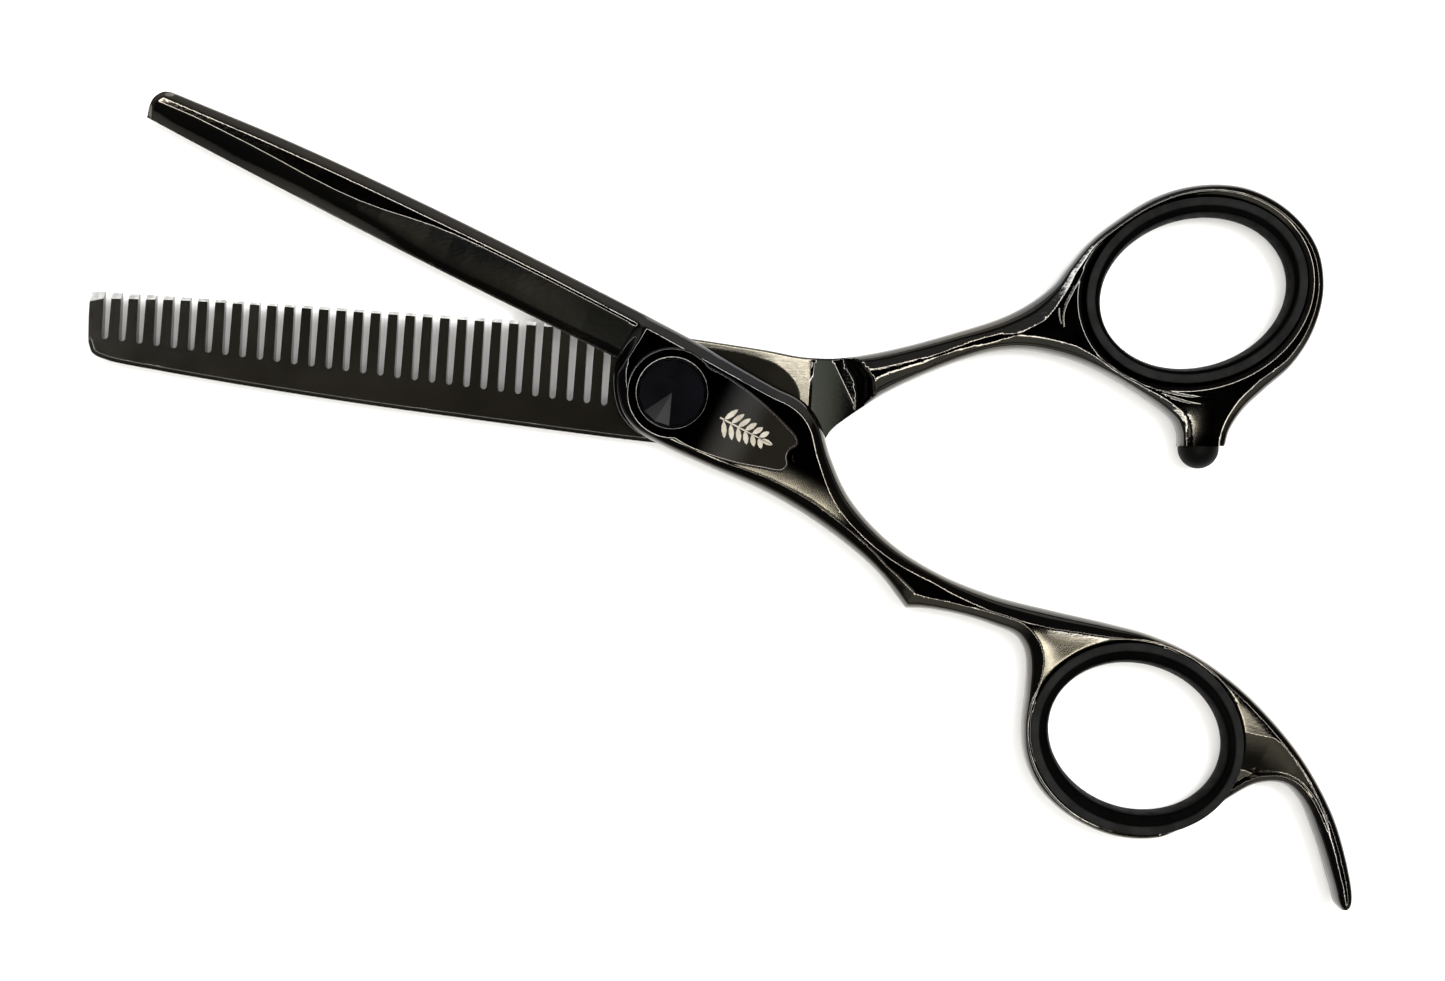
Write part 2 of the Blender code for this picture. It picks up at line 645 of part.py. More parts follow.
def pivot_stud(frame):
    """Flat rear head with two spanner holes, keyed neck and round shank."""
    bm = turned([(0.0, 0.0), (STUD_HEAD_RADIUS - 0.15, 0.0), (STUD_HEAD_RADIUS, 0.15),
                 (STUD_HEAD_RADIUS, STUD_HEAD_TOP_Z), (STUD_NECK_RADIUS, STUD_HEAD_TOP_Z),
                 (STUD_NECK_RADIUS, RACE_SEAT_LOW_Z - FIT),
                 (STUD_SHANK_RADIUS, RACE_SEAT_LOW_Z - FIT),
                 (STUD_SHANK_RADIUS, STUD_TOP_Z - 0.2), (STUD_SHANK_RADIUS - 0.2, STUD_TOP_Z),
                 (0.0, STUD_TOP_Z)])
    stud = add_object("pivot_stud", bm, black_steel("pivot_stud"), frame)
    for side in (-1, 1):
        flat = prism([(side * STUD_NECK_FLAT, -3.0), (side * 3.0, -3.0),
                      (side * 3.0, 3.0), (side * STUD_NECK_FLAT, 3.0)],
                     STUD_HEAD_TOP_Z, RACE_SEAT_LOW_Z + 0.5)
        cut_with(stud, flat, "neck_flat", frame)
        hole = disc(SPANNER_HOLE_RADIUS, -1.0, SPANNER_HOLE_DEPTH,
                    (0.0, side * SPANNER_HOLE_OFFSET), 12)
        cut_with(stud, hole, "spanner_hole", frame)


def races(toothed_frame, plain_frame):
    """Hardened rings that the balls roll between."""
    low = RACE_SEAT_LOW_Z + FIT
    ring = tube(RACE_BORE, RACE_RADIUS, low, low + RACE_THICKNESS)
    add_object("lower_race", ring, bare_steel("lower_race"), toothed_frame)
    top = RACE_SEAT_TOP_Z - FIT
    ring = tube(RACE_BORE, RACE_RADIUS, top - RACE_THICKNESS, top)
    add_object("upper_race", ring, bare_steel("upper_race"), plain_frame)


def ball_cage():
    """Thin ring with a pocket for each ball."""
    finish = finish_material("ball_cage", (0.55, 0.38, 0.16), 0.3, 1.0)
    pockets = [circle(BALL_RADIUS + FIT, place, 12) for place in ball_places()]
    bm = relief_body(circle(RACE_RADIUS - 0.1, sides=48), [circle(RACE_BORE + 0.1)] + pockets,
                     level(BALL_Z - CAGE_THICKNESS / 2), level(BALL_Z + CAGE_THICKNESS / 2),
                     (), circle(BALL_CIRCLE))
    add_object("ball_cage", bm, finish)


def ball_places():
    places = []
    for ball in range(BALL_COUNT):
        turn = 2 * math.pi * ball / BALL_COUNT
        places.append((BALL_CIRCLE * math.cos(turn), BALL_CIRCLE * math.sin(turn)))
    return places


def bearing_balls():
    for number, (x, y) in enumerate(ball_places(), start=1):
        bm = bmesh.new()
        bmesh.ops.create_icosphere(bm, subdivisions=2, radius=BALL_RADIUS)
        bmesh.ops.translate(bm, verts=bm.verts, vec=(x, y, BALL_Z))
        name = f"bearing_ball_{number}"
        add_object(name, bm, bare_steel(name))


def pivot_bush(frame):
    bronze = finish_material("pivot_bush", (0.60, 0.40, 0.18), 0.3, 1.0)
    bm = tube(STUD_SHANK_RADIUS + FIT, BUSH_RADIUS, RACE_SEAT_TOP_Z - FIT, BUSH_TOP_Z)
    add_object("pivot_bush", bm, bronze, frame)


def plate_outline():
    """Round head about the dial, tapering to a notched tail that clears the pin."""
    points = []
    start = math.radians(PLATE_HEAD_TURN)
    for step in range(21):
        turn = start + (2 * math.pi - 2 * start) * step / 20
        points.append((PLATE_HEAD_RADIUS * math.cos(turn), PLATE_HEAD_RADIUS * math.sin(turn)))
    points += PLATE_LOW_SIDE
    for step in range(7):
        turn = math.pi + math.radians(NOTCH_HALF_TURN) * (1 - step / 3)
        points.append((PIN_PLACE[0] + NOTCH_RADIUS * math.cos(turn),
                       PIN_PLACE[1] + NOTCH_RADIUS * math.sin(turn)))
    points += PLATE_TOP_SIDE
    return points


def tension_plate(frame):
    """Leaf-shaped spring plate under the dial."""
    low = PAD_TOP_Z + FIT
    bm = prism(plate_outline(), low, low + PLATE_THICKNESS)
    plate = add_object("tension_plate", bm, black_steel("tension_plate"), frame)
    cut_with(plate, disc(DIAL_HUB_RADIUS + 0.1, low - 1.0, low + 2.0), "plate_hole", frame)


def locator_pin(frame):
    bm = turned([(0.0, PIN_LOW_Z), (PIN_RADIUS, PIN_LOW_Z), (PIN_RADIUS, PIN_TOP_Z - 0.15),
                 (PIN_RADIUS - 0.2, PIN_TOP_Z), (0.0, PIN_TOP_Z)], sides=20)
    bmesh.ops.translate(bm, verts=bm.verts, vec=(PIN_PLACE[0], PIN_PLACE[1], 0.0))
    add_object("locator_pin", bm, black_steel("locator_pin"), frame)


def dial_washers(plain_frame):
    """Nylon friction washer under a dished spring washer, both inside the dial's pocket."""
    nylon = finish_material("friction_washer", (0.75, 0.74, 0.70), 0.5, 0.0)
    inner = DIAL_HUB_RADIUS + FIT
    outer = DIAL_POCKET_RADIUS - 0.1
    low = PAD_TOP_Z + PLATE_THICKNESS + 2 * FIT
    add_object("friction_washer", tube(inner, outer, low, low + 0.2), nylon, plain_frame)
    dish = turned([(inner, low + 0.38), (outer, low + 0.25), (outer, low + 0.37),
                   (inner, low + 0.5)])
    add_object("spring_washer", dish, bare_steel("spring_washer"))


def tension_dial():
    """Round nut with a hub that screws onto the stud and a bezel round the jewel."""
    bore = STUD_SHANK_RADIUS + FIT
    bm = turned([(bore, DIAL_HUB_LOW_Z), (DIAL_HUB_RADIUS, DIAL_HUB_LOW_Z),
                 (DIAL_HUB_RADIUS, DIAL_POCKET_TOP_Z), (DIAL_POCKET_RADIUS, DIAL_POCKET_TOP_Z),
                 (DIAL_POCKET_RADIUS, DIAL_LOW_Z), (DIAL_RADIUS, DIAL_LOW_Z),
                 (DIAL_RADIUS, DIAL_TOP_Z - 0.2), (DIAL_RADIUS - 0.15, DIAL_TOP_Z),
                 (DIAL_SEAT_RADIUS, DIAL_TOP_Z), (DIAL_SEAT_RADIUS, DIAL_SEAT_Z),
                 (bore, DIAL_SEAT_Z)])
    add_object("tension_dial", bm, black_steel("tension_dial"))


def dial_jewel():
    """Black stone cut to a low point, with a flat back."""
    radius = DIAL_SEAT_RADIUS - FIT
    low = DIAL_SEAT_Z + FIT
    jet = finish_material("dial_jewel", (0.01, 0.01, 0.012), 0.03, 0.0)
    bm = turned([(0.0, low), (radius, low), (radius, JEWEL_GIRDLE_Z),
                 (0.0, JEWEL_POINT_Z)], sides=JEWEL_FACETS)
    jewel = add_object("dial_jewel", bm, jet)
    jewel.data.shade_flat()


def build():
    clear_scene()
    toothed_frame = add_frame("toothed_half_frame", TOOTHED_ANGLE)
    plain_frame = add_frame("plain_half_frame", PLAIN_ANGLE)
    bumper_socket(toothed_half(toothed_frame))
    rubber_bumper()
    ring_insert("thumb_ring_insert", THUMB_CENTRE, THUMB_BORE, THUMB_BORE_CENTRE, THUMB_LIP,
                THUMB_TILT, toothed_frame)
    pivot_stud(toothed_frame)
    plain_half(plain_frame)
    ring_insert("finger_ring_insert", FINGER_CENTRE, FINGER_BORE, FINGER_BORE_CENTRE, FINGER_LIP,
                FINGER_TILT, plain_frame)
    races(toothed_frame, plain_frame)
    ball_cage()
    bearing_balls()
    pivot_bush(plain_frame)
    tension_plate(plain_frame)
    locator_pin(plain_frame)
    dial_washers(plain_frame)
    tension_dial()
    dial_jewel()


build()
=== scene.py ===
import json
import math

import bmesh
import bpy
import numpy as np
from mathutils import Matrix, Vector
from mathutils.geometry import delaunay_2d_cdt
from mathutils.kdtree import KDTree


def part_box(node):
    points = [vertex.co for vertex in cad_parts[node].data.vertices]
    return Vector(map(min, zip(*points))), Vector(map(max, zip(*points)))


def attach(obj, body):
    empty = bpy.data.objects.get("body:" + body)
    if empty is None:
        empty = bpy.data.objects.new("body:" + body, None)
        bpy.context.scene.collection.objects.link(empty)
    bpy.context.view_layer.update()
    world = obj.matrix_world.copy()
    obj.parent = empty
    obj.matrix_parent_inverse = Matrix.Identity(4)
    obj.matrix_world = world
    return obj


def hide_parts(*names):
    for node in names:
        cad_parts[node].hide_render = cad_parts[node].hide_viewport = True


# Thinning shears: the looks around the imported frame.
# Lengths are in millimetres in each half's own frame; MM turns them into metres.

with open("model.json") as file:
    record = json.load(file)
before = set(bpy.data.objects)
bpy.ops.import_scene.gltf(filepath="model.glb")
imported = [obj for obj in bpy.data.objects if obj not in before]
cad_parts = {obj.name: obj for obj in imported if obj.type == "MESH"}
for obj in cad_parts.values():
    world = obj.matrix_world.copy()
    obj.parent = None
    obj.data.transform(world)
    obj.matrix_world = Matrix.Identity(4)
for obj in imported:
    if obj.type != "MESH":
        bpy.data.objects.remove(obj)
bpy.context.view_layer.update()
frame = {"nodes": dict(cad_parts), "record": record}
MM = 0.001

TOOTHED_ANGLE = -4.0
PLAIN_ANGLE = -26.0

# Heights above the plane that the shears lie on
CONTACT_Z = 3.0
BLADE_GAP = 0.05
HANDLE_LOW_Z = 0.5
HANDLE_TOP_Z = 5.5
PAD_LOW_Z = 0.6
BLADE_LOW_Z = CONTACT_Z + BLADE_GAP
EDGE_DROP = 2.1          # how far the handles' rounded edges fall

# Plain blade
BLADE_TIP_THICK = 1.35
BLADE_HEEL_THICKER = 0.6
EDGE_THICK = 0.22
HEEL_LEAN = 0.12         # how far the pad's heel leans along the shears, per millimetre across

# Both halves
PIVOT_HOLE_RADIUS = 2.3
HALF_GRID = 0.36         # spacing of mesh points on their faces

# Comb
TOOTH_TIP_Y = 7.4
SLOT_COUNT = 30
SLOT_FIRST = (-67.3, 1.8)
SLOT_LAST = (-8.0, -1.9)
SLOT_TIP_WIDTH = 0.92
SLOT_ROOT_WIDTH = 0.76
SLOT_ROOT_STEPS = 8

# Toothed half's step down from the ride to the sloping facet
STEP_START = 16.0
STEP_END = 16.45

# Rings
LIP_OVERLAP = 0.75
THUMB_CENTRE = (60.4, 16.3)
THUMB_LIP = (13.1, 10.7)
THUMB_TILT = 19.6
THUMB_BORE_CENTRE = (60.45, 16.15)
THUMB_BORE = (11.2, 8.7)
FINGER_CENTRE = (66.6, -12.5)
FINGER_LIP = (12.6, 11.1)
FINGER_TILT = 8.9
FINGER_BORE_CENTRE = (66.65, -12.35)
FINGER_BORE = (10.35, 8.5)

# Tension plate and pin
PLATE_TOP_Z = 5.95
PLATE_HEAD_RADIUS = 5.35
PLATE_HEAD_TURN = 61.5
NOTCH_RADIUS = 1.25
NOTCH_HALF_TURN = 55.0
PIN_PLACE = (16.5, -0.35)

# Outlines: the points that each smooth run passes through, and beside each list the width of
# the rounded band along that part of the outline
COMB_FRONT = [(-69.4, 7.4), (-69.35, 4.2), (-69.2, 1.2)]
COMB_SPINE = [
    (-69.2, 1.2), (-68.7, 0.1), (-67.2, -0.55), (-60.2, -1.5), (-39.8, -3.45), (-19.5, -4.85),
    (-4.2, -5.75), (4.0, -6.0), (12.0, -5.9), (16.4, -5.4), (18.2, -4.3)]
THUMB_SHANK_LOW = [
    (18.2, -4.3), (19.0, -2.9), (21.0, -1.1), (25.1, 1.9), (29.6, 4.4), (34.2, 6.5), (38.0, 7.7),
    (41.5, 8.05), (46.4, 7.35), (50.6, 5.9), (54.8, 3.8), (57.6, 2.1), (59.1, 0.8), (59.7, -0.6),
    (59.8, -2.0)]
THUMB_SHANK_LOW_BAND = [0.4, 0.4, 0.9, 1.9, 1.25, 1.4, 1.6, 1.45, 1.45, 0.85, 0.75, 1.1, 1.3, 1.2, 1.0]
THUMB_RING = [
    (65.2, -1.65), (65.6, 0.2), (67.1, 2.8), (69.4, 5.3), (72.4, 8.4), (74.6, 12.5), (75.5, 17.5),
    (74.4, 22.4), (71.0, 26.4), (65.9, 28.8), (60.4, 28.9), (55.2, 27.2), (50.0, 23.5), (47.4, 21.0),
    (45.3, 18.1), (43.9, 16.0), (41.4, 13.7), (38.1, 11.7), (32.6, 9.5), (26.9, 7.5), (23.1, 6.4),
    (19.1, 5.6), (15.0, 5.45), (11.0, 5.9), (2.9, 6.6), (-3.0, 7.05), (-6.9, 7.3)]
THUMB_RING_BAND = [
    0.9, 1.0, 1.2, 1.3, 1.0, 0.9, 0.85, 0.9, 1.0, 1.0, 1.1, 1.2, 1.15, 1.0, 1.15, 1.6, 2.6, 2.4, 1.95,
    1.85, 1.9, 1.2, 0.3, 0.3, 0.3, 0.3, 0.3]
BLADE_TIP = [(-68.6, 6.1), (-69.4, 5.7), (-70.1, 4.6), (-70.2, 3.2), (-70.0, 2.15)]
BLADE_EDGE = [(-70.0, 2.15), (-61.0, 1.8), (-35.0, 1.15), (-8.2, 0.9)]
PLAIN_PAD = [
    (-8.2, 0.9), (-7.75, 0.9), (-7.4, -0.5), (-6.4, -2.6), (-4.6, -4.7), (-2.2, -5.8), (1.0, -6.0),
    (8.0, -5.85), (14.5, -5.55), (20.0, -5.9), (26.0, -6.9), (31.0, -8.3), (35.7, -10.6)]
PLAIN_PAD_BAND = [1.3, 1.3, 1.4, 1.5, 1.5, 1.3, 1.05, 1.1, 1.5, 1.65, 1.4, 1.1, 1.9]
FINGER_RING_LOW = [
    (35.7, -10.6), (38.0, -9.6), (42.0, -8.5), (46.0, -7.9), (48.7, -7.8), (50.3, -8.7), (51.3, -10.0),
    (52.7, -13.2), (54.0, -16.8), (55.9, -20.1), (58.8, -22.6), (63.2, -24.1), (68.4, -24.15),
    (72.6, -22.8), (76.0, -20.4), (78.2, -17.3), (79.9, -14.0), (82.0, -11.1), (84.8, -9.75),
    (87.4, -10.6), (90.9, -13.6), (94.9, -17.9), (96.6, -19.8), (97.5, -20.1), (98.1, -19.3)]
FINGER_RING_LOW_BAND = [
    1.9, 1.3, 1.15, 1.35, 1.5, 1.75, 1.8, 1.2, 0.95, 0.95, 0.9, 0.7, 0.7, 0.7, 0.8, 0.9, 1.0, 1.0, 0.9,
    1.0, 1.1, 0.9, 0.7, 0.6, 0.6]
FINGER_TOP = [
    (98.1, -19.3), (97.4, -17.6), (94.0, -13.1), (90.7, -9.8), (84.9, -5.8), (78.5, -2.9), (73.4, -1.4),
    (68.2, -0.65), (62.8, -0.85), (57.7, -1.85), (51.1, -3.4), (44.2, -4.8), (37.3, -5.25),
    (30.6, -4.45), (24.2, -1.9), (20.0, 1.5), (17.5, 4.2), (15.7, 5.45), (13.4, 6.1), (10.8, 6.1),
    (6.3, 6.3), (-0.8, 6.75), (-18.3, 7.15), (-35.5, 7.3), (-52.7, 7.0), (-68.6, 6.1)]
FINGER_TOP_BAND = [
    0.6, 0.8, 0.9, 0.95, 0.95, 0.95, 0.85, 0.8, 0.95, 1.55, 2.05, 1.7, 1.2, 1.5, 1.75, 1.5, 1.35, 1.35,
    1.35, 1.3, 1.3, 1.4, 1.15, 1.22, 1.18, 0.95]
PLATE_TOP_SIDE = [(15.85, 1.2), (15.3, 1.8), (13.0, 2.75), (10.5, 3.55), (8.0, 4.15), (5.0, 4.6)]
PLATE_LOW_SIDE = [
    (4.5, -4.85), (8.0, -4.5), (10.5, -4.05), (13.0, -3.35), (15.4, -2.6), (15.85, -2.0)]

# Ground lines on the blade and handle faces
BLADE_RIDGE = [
    (-69.5, 4.4), (-68.0, 4.5), (-65.0, 4.65), (-62.0, 4.62), (-58.0, 4.58), (-54.0, 4.45),
    (-50.0, 4.25), (-46.0, 4.2), (-43.0, 4.3), (-40.0, 4.6), (-37.0, 5.05), (-34.0, 5.45),
    (-31.0, 5.68), (-28.0, 5.74), (-20.0, 5.65), (-15.0, 5.5), (-7.0, 5.25)]
TANG_RIDGE = [
    (76.5, -6.7), (78.0, -6.15), (79.5, -5.8), (81.0, -5.4), (82.5, -5.7), (85.0, -6.8), (87.0, -8.0),
    (89.0, -9.6), (90.5, -11.0), (92.0, -12.7), (93.5, -14.3), (95.0, -16.4), (96.3, -17.9),
    (97.0, -19.0)]
RIDE_EDGE = [
    (1.0, 5.9), (3.5, 5.75), (6.0, 5.6), (8.0, 5.35), (10.0, 4.95), (11.5, 4.55), (12.5, 4.05),
    (13.5, 3.3), (14.3, 2.4), (14.8, 1.5), (15.0, 0.6), (15.0, -6.0)]
THUMB_BEADS = [[(45.1, 11.0), (44.95, 12.0), (45.1, 13.2), (45.8, 15.0), (47.0, 17.5), (48.2, 19.5)],
               [(44.35, 13.4), (44.45, 12.2), (44.8, 11.2)],
               [(56.0, 4.5), (58.0, 4.15), (60.0, 3.9), (63.0, 3.8)],
               [(56.5, 4.0), (58.5, 3.5), (60.5, 3.1), (62.0, 3.0), (63.3, 3.2)]]

# Spacing of mesh points: along an outline, and where a face needs them close together
COARSE = 0.35
PATCH_GRID = 0.16
FINE = 0.05              # spacing of the outline points that distances are measured to
# Rows of mesh points beside an outline: in shares of the band's width, at distances past the band,
# and at distances from a plain edge
BAND_ROWS = (0.05, 0.14, 0.26, 0.4, 0.5, 0.56, 0.7, 0.85, 0.95)
CREST_ROWS = (-0.02, 0.02, 0.06, 0.1, 0.14, 0.2, 0.36)
EDGE_ROWS = (0.07, 0.16)
# How near mesh points may come to each other, the outline, a hole and a ground line
POINT_CLEARANCE = 0.035
EDGE_CLEARANCE = 0.03
HOLE_CLEARANCE = 0.12
LINE_CLEARANCE = 0.06
SMOOTH_TURN = 40.0       # corners of an outline that turn less, in degrees, are shaded smooth


# Materials

ALONG_X = (1.0, 2.5, 1.0)     # noise stretched along the shears


def node_material(name):
    material = bpy.data.materials.new(name)
    material.use_nodes = True
    tree = material.node_tree
    return material, tree, tree.nodes["Principled BSDF"].inputs


def object_noise(tree, scale, detail=3.0, stretch=(1.0, 1.0, 1.0)):
    """Noise in the object's own space, in features per metre."""
    place = tree.nodes.new("ShaderNodeTexCoord")
    mapping = tree.nodes.new("ShaderNodeMapping")
    mapping.inputs["Scale"].default_value = stretch
    noise = tree.nodes.new("ShaderNodeTexNoise")
    noise.inputs["Scale"].default_value = scale
    noise.inputs["Detail"].default_value = detail
    tree.links.new(place.outputs["Object"], mapping.inputs["Vector"])
    tree.links.new(mapping.outputs["Vector"], noise.inputs["Vector"])
    return noise.outputs["Fac"]


def ramp(tree, value, stops):
    """A colour ramp; each stop is a position and a colour or a grey level."""
    node = tree.nodes.new("ShaderNodeValToRGB")
    elements = node.color_ramp.elements
    while len(elements) < len(stops):
        elements.new(0.5)
    for element, (position, colour) in zip(elements, stops):
        element.position = position
        grey = isinstance(colour, (int, float))
        element.color = (colour, colour, colour, 1.0) if grey else (*colour, 1.0)
    tree.links.new(value, node.inputs["Fac"])
    return node.outputs["Color"]


def vary(tree, socket, noise, *stops):
    """Drive a socket with a ramp over a noise."""
    tree.links.new(ramp(tree, noise, stops), socket)


def mix(tree, share, first, second):
    """Mix two colour outputs by a share."""
    node = tree.nodes.new("ShaderNodeMix")
    node.data_type = 'RGBA'
    tree.links.new(share, node.inputs["Factor"])
    tree.links.new(first, node.inputs["A"])
    tree.links.new(second, node.inputs["B"])
    return node.outputs["Result"]


def calculate(tree, operation, first, second):
    node = tree.nodes.new("ShaderNodeMath")
    node.operation = operation
    for socket, value in zip(node.inputs, (first, second)):
        if isinstance(value, (int, float)):
            socket.default_value = value
        elif value is not None:
            tree.links.new(value, socket)
    return node.outputs["Value"]


def painted(tree, name):
    """A value stored on the mesh, 0 where a mesh has none."""
    node = tree.nodes.new("ShaderNodeAttribute")
    node.attribute_name = name
    return node.outputs["Fac"]


def bump(tree, height, strength, distance):
    node = tree.nodes.new("ShaderNodeBump")
    node.inputs["Strength"].default_value = strength
    node.inputs["Distance"].default_value = distance
    tree.links.new(height, node.inputs["Height"])
    return node.outputs["Normal"]


def coated_steel(name):
    """Mirror-polished steel under a black coating.

    The mesh's paint tells where the coat is satin and where it is hand finished in a hollow; there the
    base colour is also painted lighter and warmer, a painted reflection.
    """
    material, tree, inputs = node_material(name)
    satin, hollow = painted(tree, "satin"), painted(tree, "hollow")
    tree.links.new(calculate(tree, 'SUBTRACT', 1.0, satin), inputs["Metallic"])
    polished = ramp(tree, object_noise(tree, 45.0),
                    [(0.35, (0.060, 0.061, 0.065)), (0.65, (0.078, 0.073, 0.064))])
    ground = ramp(tree, object_noise(tree, 70.0, 5.0),
                  [(0.3, (0.0038, 0.0034, 0.0026)), (0.7, (0.0078, 0.0069, 0.0051))])
    # Lighter warm base under the hollow paint: partly the worked finish, partly painted reflection.
    worked_and_sheen = ramp(tree, object_noise(tree, 420.0, 4.0, (1.0, 2.2, 1.0)),
                  [(0.3, (0.115, 0.105, 0.085)), (0.5, (0.135, 0.125, 0.10)),
                   (0.7, (0.16, 0.148, 0.12))])
    tree.links.new(mix(tree, hollow, mix(tree, satin, polished, ground), worked_and_sheen), inputs["Base Color"])
    smear = ramp(tree, object_noise(tree, 160.0, 5.0, ALONG_X), [(0.35, 0.045), (0.7, 0.075)])
    matt = ramp(tree, object_noise(tree, 260.0, 5.0), [(0.3, 0.08), (0.7, 0.12)])
    brushed = ramp(tree, object_noise(tree, 420.0, 4.0), [(0.3, 0.19), (0.7, 0.23)])
    tree.links.new(mix(tree, hollow, mix(tree, satin, smear, matt), brushed), inputs["Roughness"])
    marks = calculate(tree, 'SUBTRACT', object_noise(tree, 1100.0, 4.0, ALONG_X), 0.5)
    calm = calculate(tree, 'SUBTRACT', 1.0, calculate(tree, 'MULTIPLY', hollow, 0.7))
    marks = calculate(tree, 'MULTIPLY', marks, calm)
    tree.links.new(bump(tree, marks, 0.14, 0.00006), inputs["Normal"])
    return material


def bare_steel(name):
    """Ground steel where the coating is missing."""
    material, tree, inputs = node_material(name)
    inputs["Metallic"].default_value = 0.45
    vary(tree, inputs["Base Color"], object_noise(tree, 1500.0, 6.0), (0.35, 0.34), (0.65, 0.62))
    vary(tree, inputs["Roughness"], object_noise(tree, 2600.0, 4.0, (1.0, 8.0, 1.0)),
         (0.3, 0.3), (0.7, 0.5))
    return material


def etched_steel(name):
    """Lightly etched figures on the coated plate."""
    material, tree, inputs = node_material(name)
    inputs["Metallic"].default_value = 0.25
    vary(tree, inputs["Base Color"], object_noise(tree, 900.0, 5.0),
         (0.3, (0.22, 0.20, 0.165)), (0.7, (0.36, 0.33, 0.28)))
    vary(tree, inputs["Roughness"], object_noise(tree, 2600.0, 4.0), (0.3, 0.4), (0.7, 0.6))
    return material


def moulded_rubber(name, shine, shaded_greys, lit_face_greys):
    """Satin black rubber with a fine moulded grain; its two outer faces are painted greyer as painted
    light, and its walls and bore nearly black as painted shade.
    """
    material, tree, inputs = node_material(name)
    inputs["Specular IOR Level"].default_value = shine
    place = tree.nodes.new("ShaderNodeTexCoord")
    split = tree.nodes.new("ShaderNodeSeparateXYZ")
    tree.links.new(place.outputs["Object"], split.inputs["Vector"])
    away = calculate(tree, 'ABSOLUTE', calculate(tree, 'SUBTRACT', split.outputs["Z"], 0.003), None)
    # Painted light and shade: the flat outer faces get the lighter greys, the walls and bore the
    # near-black ones.
    face = ramp(tree, calculate(tree, 'MULTIPLY', away, 200.0), [(0.52, 0.0), (0.585, 1.0)])
    grey = ramp(tree, object_noise(tree, 420.0, 5.0), [(0.3, lit_face_greys[0]), (0.7, lit_face_greys[1])])
    deep = ramp(tree, object_noise(tree, 160.0, 4.0), [(0.35, shaded_greys[0]), (0.7, shaded_greys[1])])
    tree.links.new(mix(tree, face, deep, grey), inputs["Base Color"])
    vary(tree, inputs["Roughness"], object_noise(tree, 900.0, 5.0), (0.3, 0.40), (0.7, 0.6))
    grain = object_noise(tree, 3600.0, 3.0)
    tree.links.new(bump(tree, grain, 0.3, 0.00005), inputs["Normal"])
    return material


def cut_stone(name):
    material, tree, inputs = node_material(name)
    inputs["IOR"].default_value = 1.75
    vary(tree, inputs["Base Color"], object_noise(tree, 200.0),
         (0.3, (0.0015, 0.0015, 0.002)), (0.7, (0.003, 0.003, 0.004)))
    vary(tree, inputs["Roughness"], object_noise(tree, 500.0), (0.3, 0.03), (0.7, 0.05))
    return material


def turned_metal(name, low, high):
    """Plain bearing metal with fine turning variation."""
    material, tree, inputs = node_material(name)
    inputs["Metallic"].default_value = 1.0
    vary(tree, inputs["Base Color"], object_noise(tree, 900.0), (0.3, low), (0.7, high))
    vary(tree, inputs["Roughness"], object_noise(tree, 2500.0), (0.3, 0.2), (0.7, 0.35))
    return material


def nylon(name):
    material, tree, inputs = node_material(name)
    vary(tree, inputs["Base Color"], object_noise(tree, 700.0),
         (0.3, (0.70, 0.69, 0.64)), (0.7, (0.80, 0.79, 0.75)))
    inputs["Roughness"].default_value = 0.5
    return material


COATED = coated_steel("black_coated_steel")
BARE = bare_steel("bare_steel")
ETCHED = etched_steel("etched_steel")
# First pair of greys: painted shade on walls and bore; second pair: painted light on the outer faces.
RUBBER = moulded_rubber("black_rubber", 0.012, (0.0003, 0.0009), (0.0055, 0.0115))
BUMPER_RUBBER = moulded_rubber("black_rubber_bumper", 0.045, (0.001, 0.002), (0.0014, 0.0040))
STONE = cut_stone("black_glass")
BRONZE = turned_metal("bronze", (0.52, 0.34, 0.14), (0.66, 0.45, 0.22))
NYLON = nylon("nylon")
FINISHES = {"black_coated_steel": COATED, "bare_steel": BARE, "black_rubber": RUBBER,
            "black_glass": STONE, "bronze": BRONZE, "nylon": NYLON}


# Curves and plane geometry

def smooth_run(points, spacing, band=None):
    """Points along a centripetal Catmull-Rom curve, without the last one.

    With band, one value for each point given, it also returns that value along the curve.
    """
    control = np.array(points, float)
    control = np.vstack([2 * control[0] - control[1], control, 2 * control[-1] - control[-2]])
    run, values = [], []
    for number, (a, b, c, d) in enumerate(zip(control, control[1:], control[2:], control[3:])):
        knots = np.cumsum([0.0] + [math.sqrt(math.dist(p, q)) for p, q in ((a, b), (b, c), (c, d))])
        count = max(1, round(math.dist(b, c) / spacing))
        share = np.arange(count) / count
        t = (knots[1] + (knots[2] - knots[1]) * share)[:, None]
        level = [np.tile(corner, (count, 1)) for corner in (a, b, c, d)]
        for order in (1, 2):
            level = [((knots[i + order] - t) * level[i] + (t - knots[i]) * level[i + 1])
                     / (knots[i + order] - knots[i]) for i in range(len(level) - 1)]
        run.append(((knots[2] - t) * level[0] + (t - knots[1]) * level[1]) / (knots[2] - knots[1]))
        if band is not None:
            values.append(band[number] + (band[number + 1] - band[number]) * share)
    run = np.vstack(run)
    return (run, np.concatenate(values)) if band is not None else run


def joined_runs(runs, spacing):
    """Join smooth runs that meet at corners; returns points, band widths and run numbers."""
    places, widths, owners = [], [], []
    for number, (run, band) in enumerate(runs):
        place, width = smooth_run(run, spacing, band)
        places.append(place)
        widths.append(width)
        owners.append(np.full(len(place), number))
    return np.vstack(places), np.concatenate(widths), np.concatenate(owners)


def straight(start, end):
    """Points on a straight side, without its end."""
    count = max(1, round(math.dist(start, end) / COARSE))
    return [(start[0] + (end[0] - start[0]) * i / count,
             start[1] + (end[1] - start[1]) * i / count) for i in range(count)]


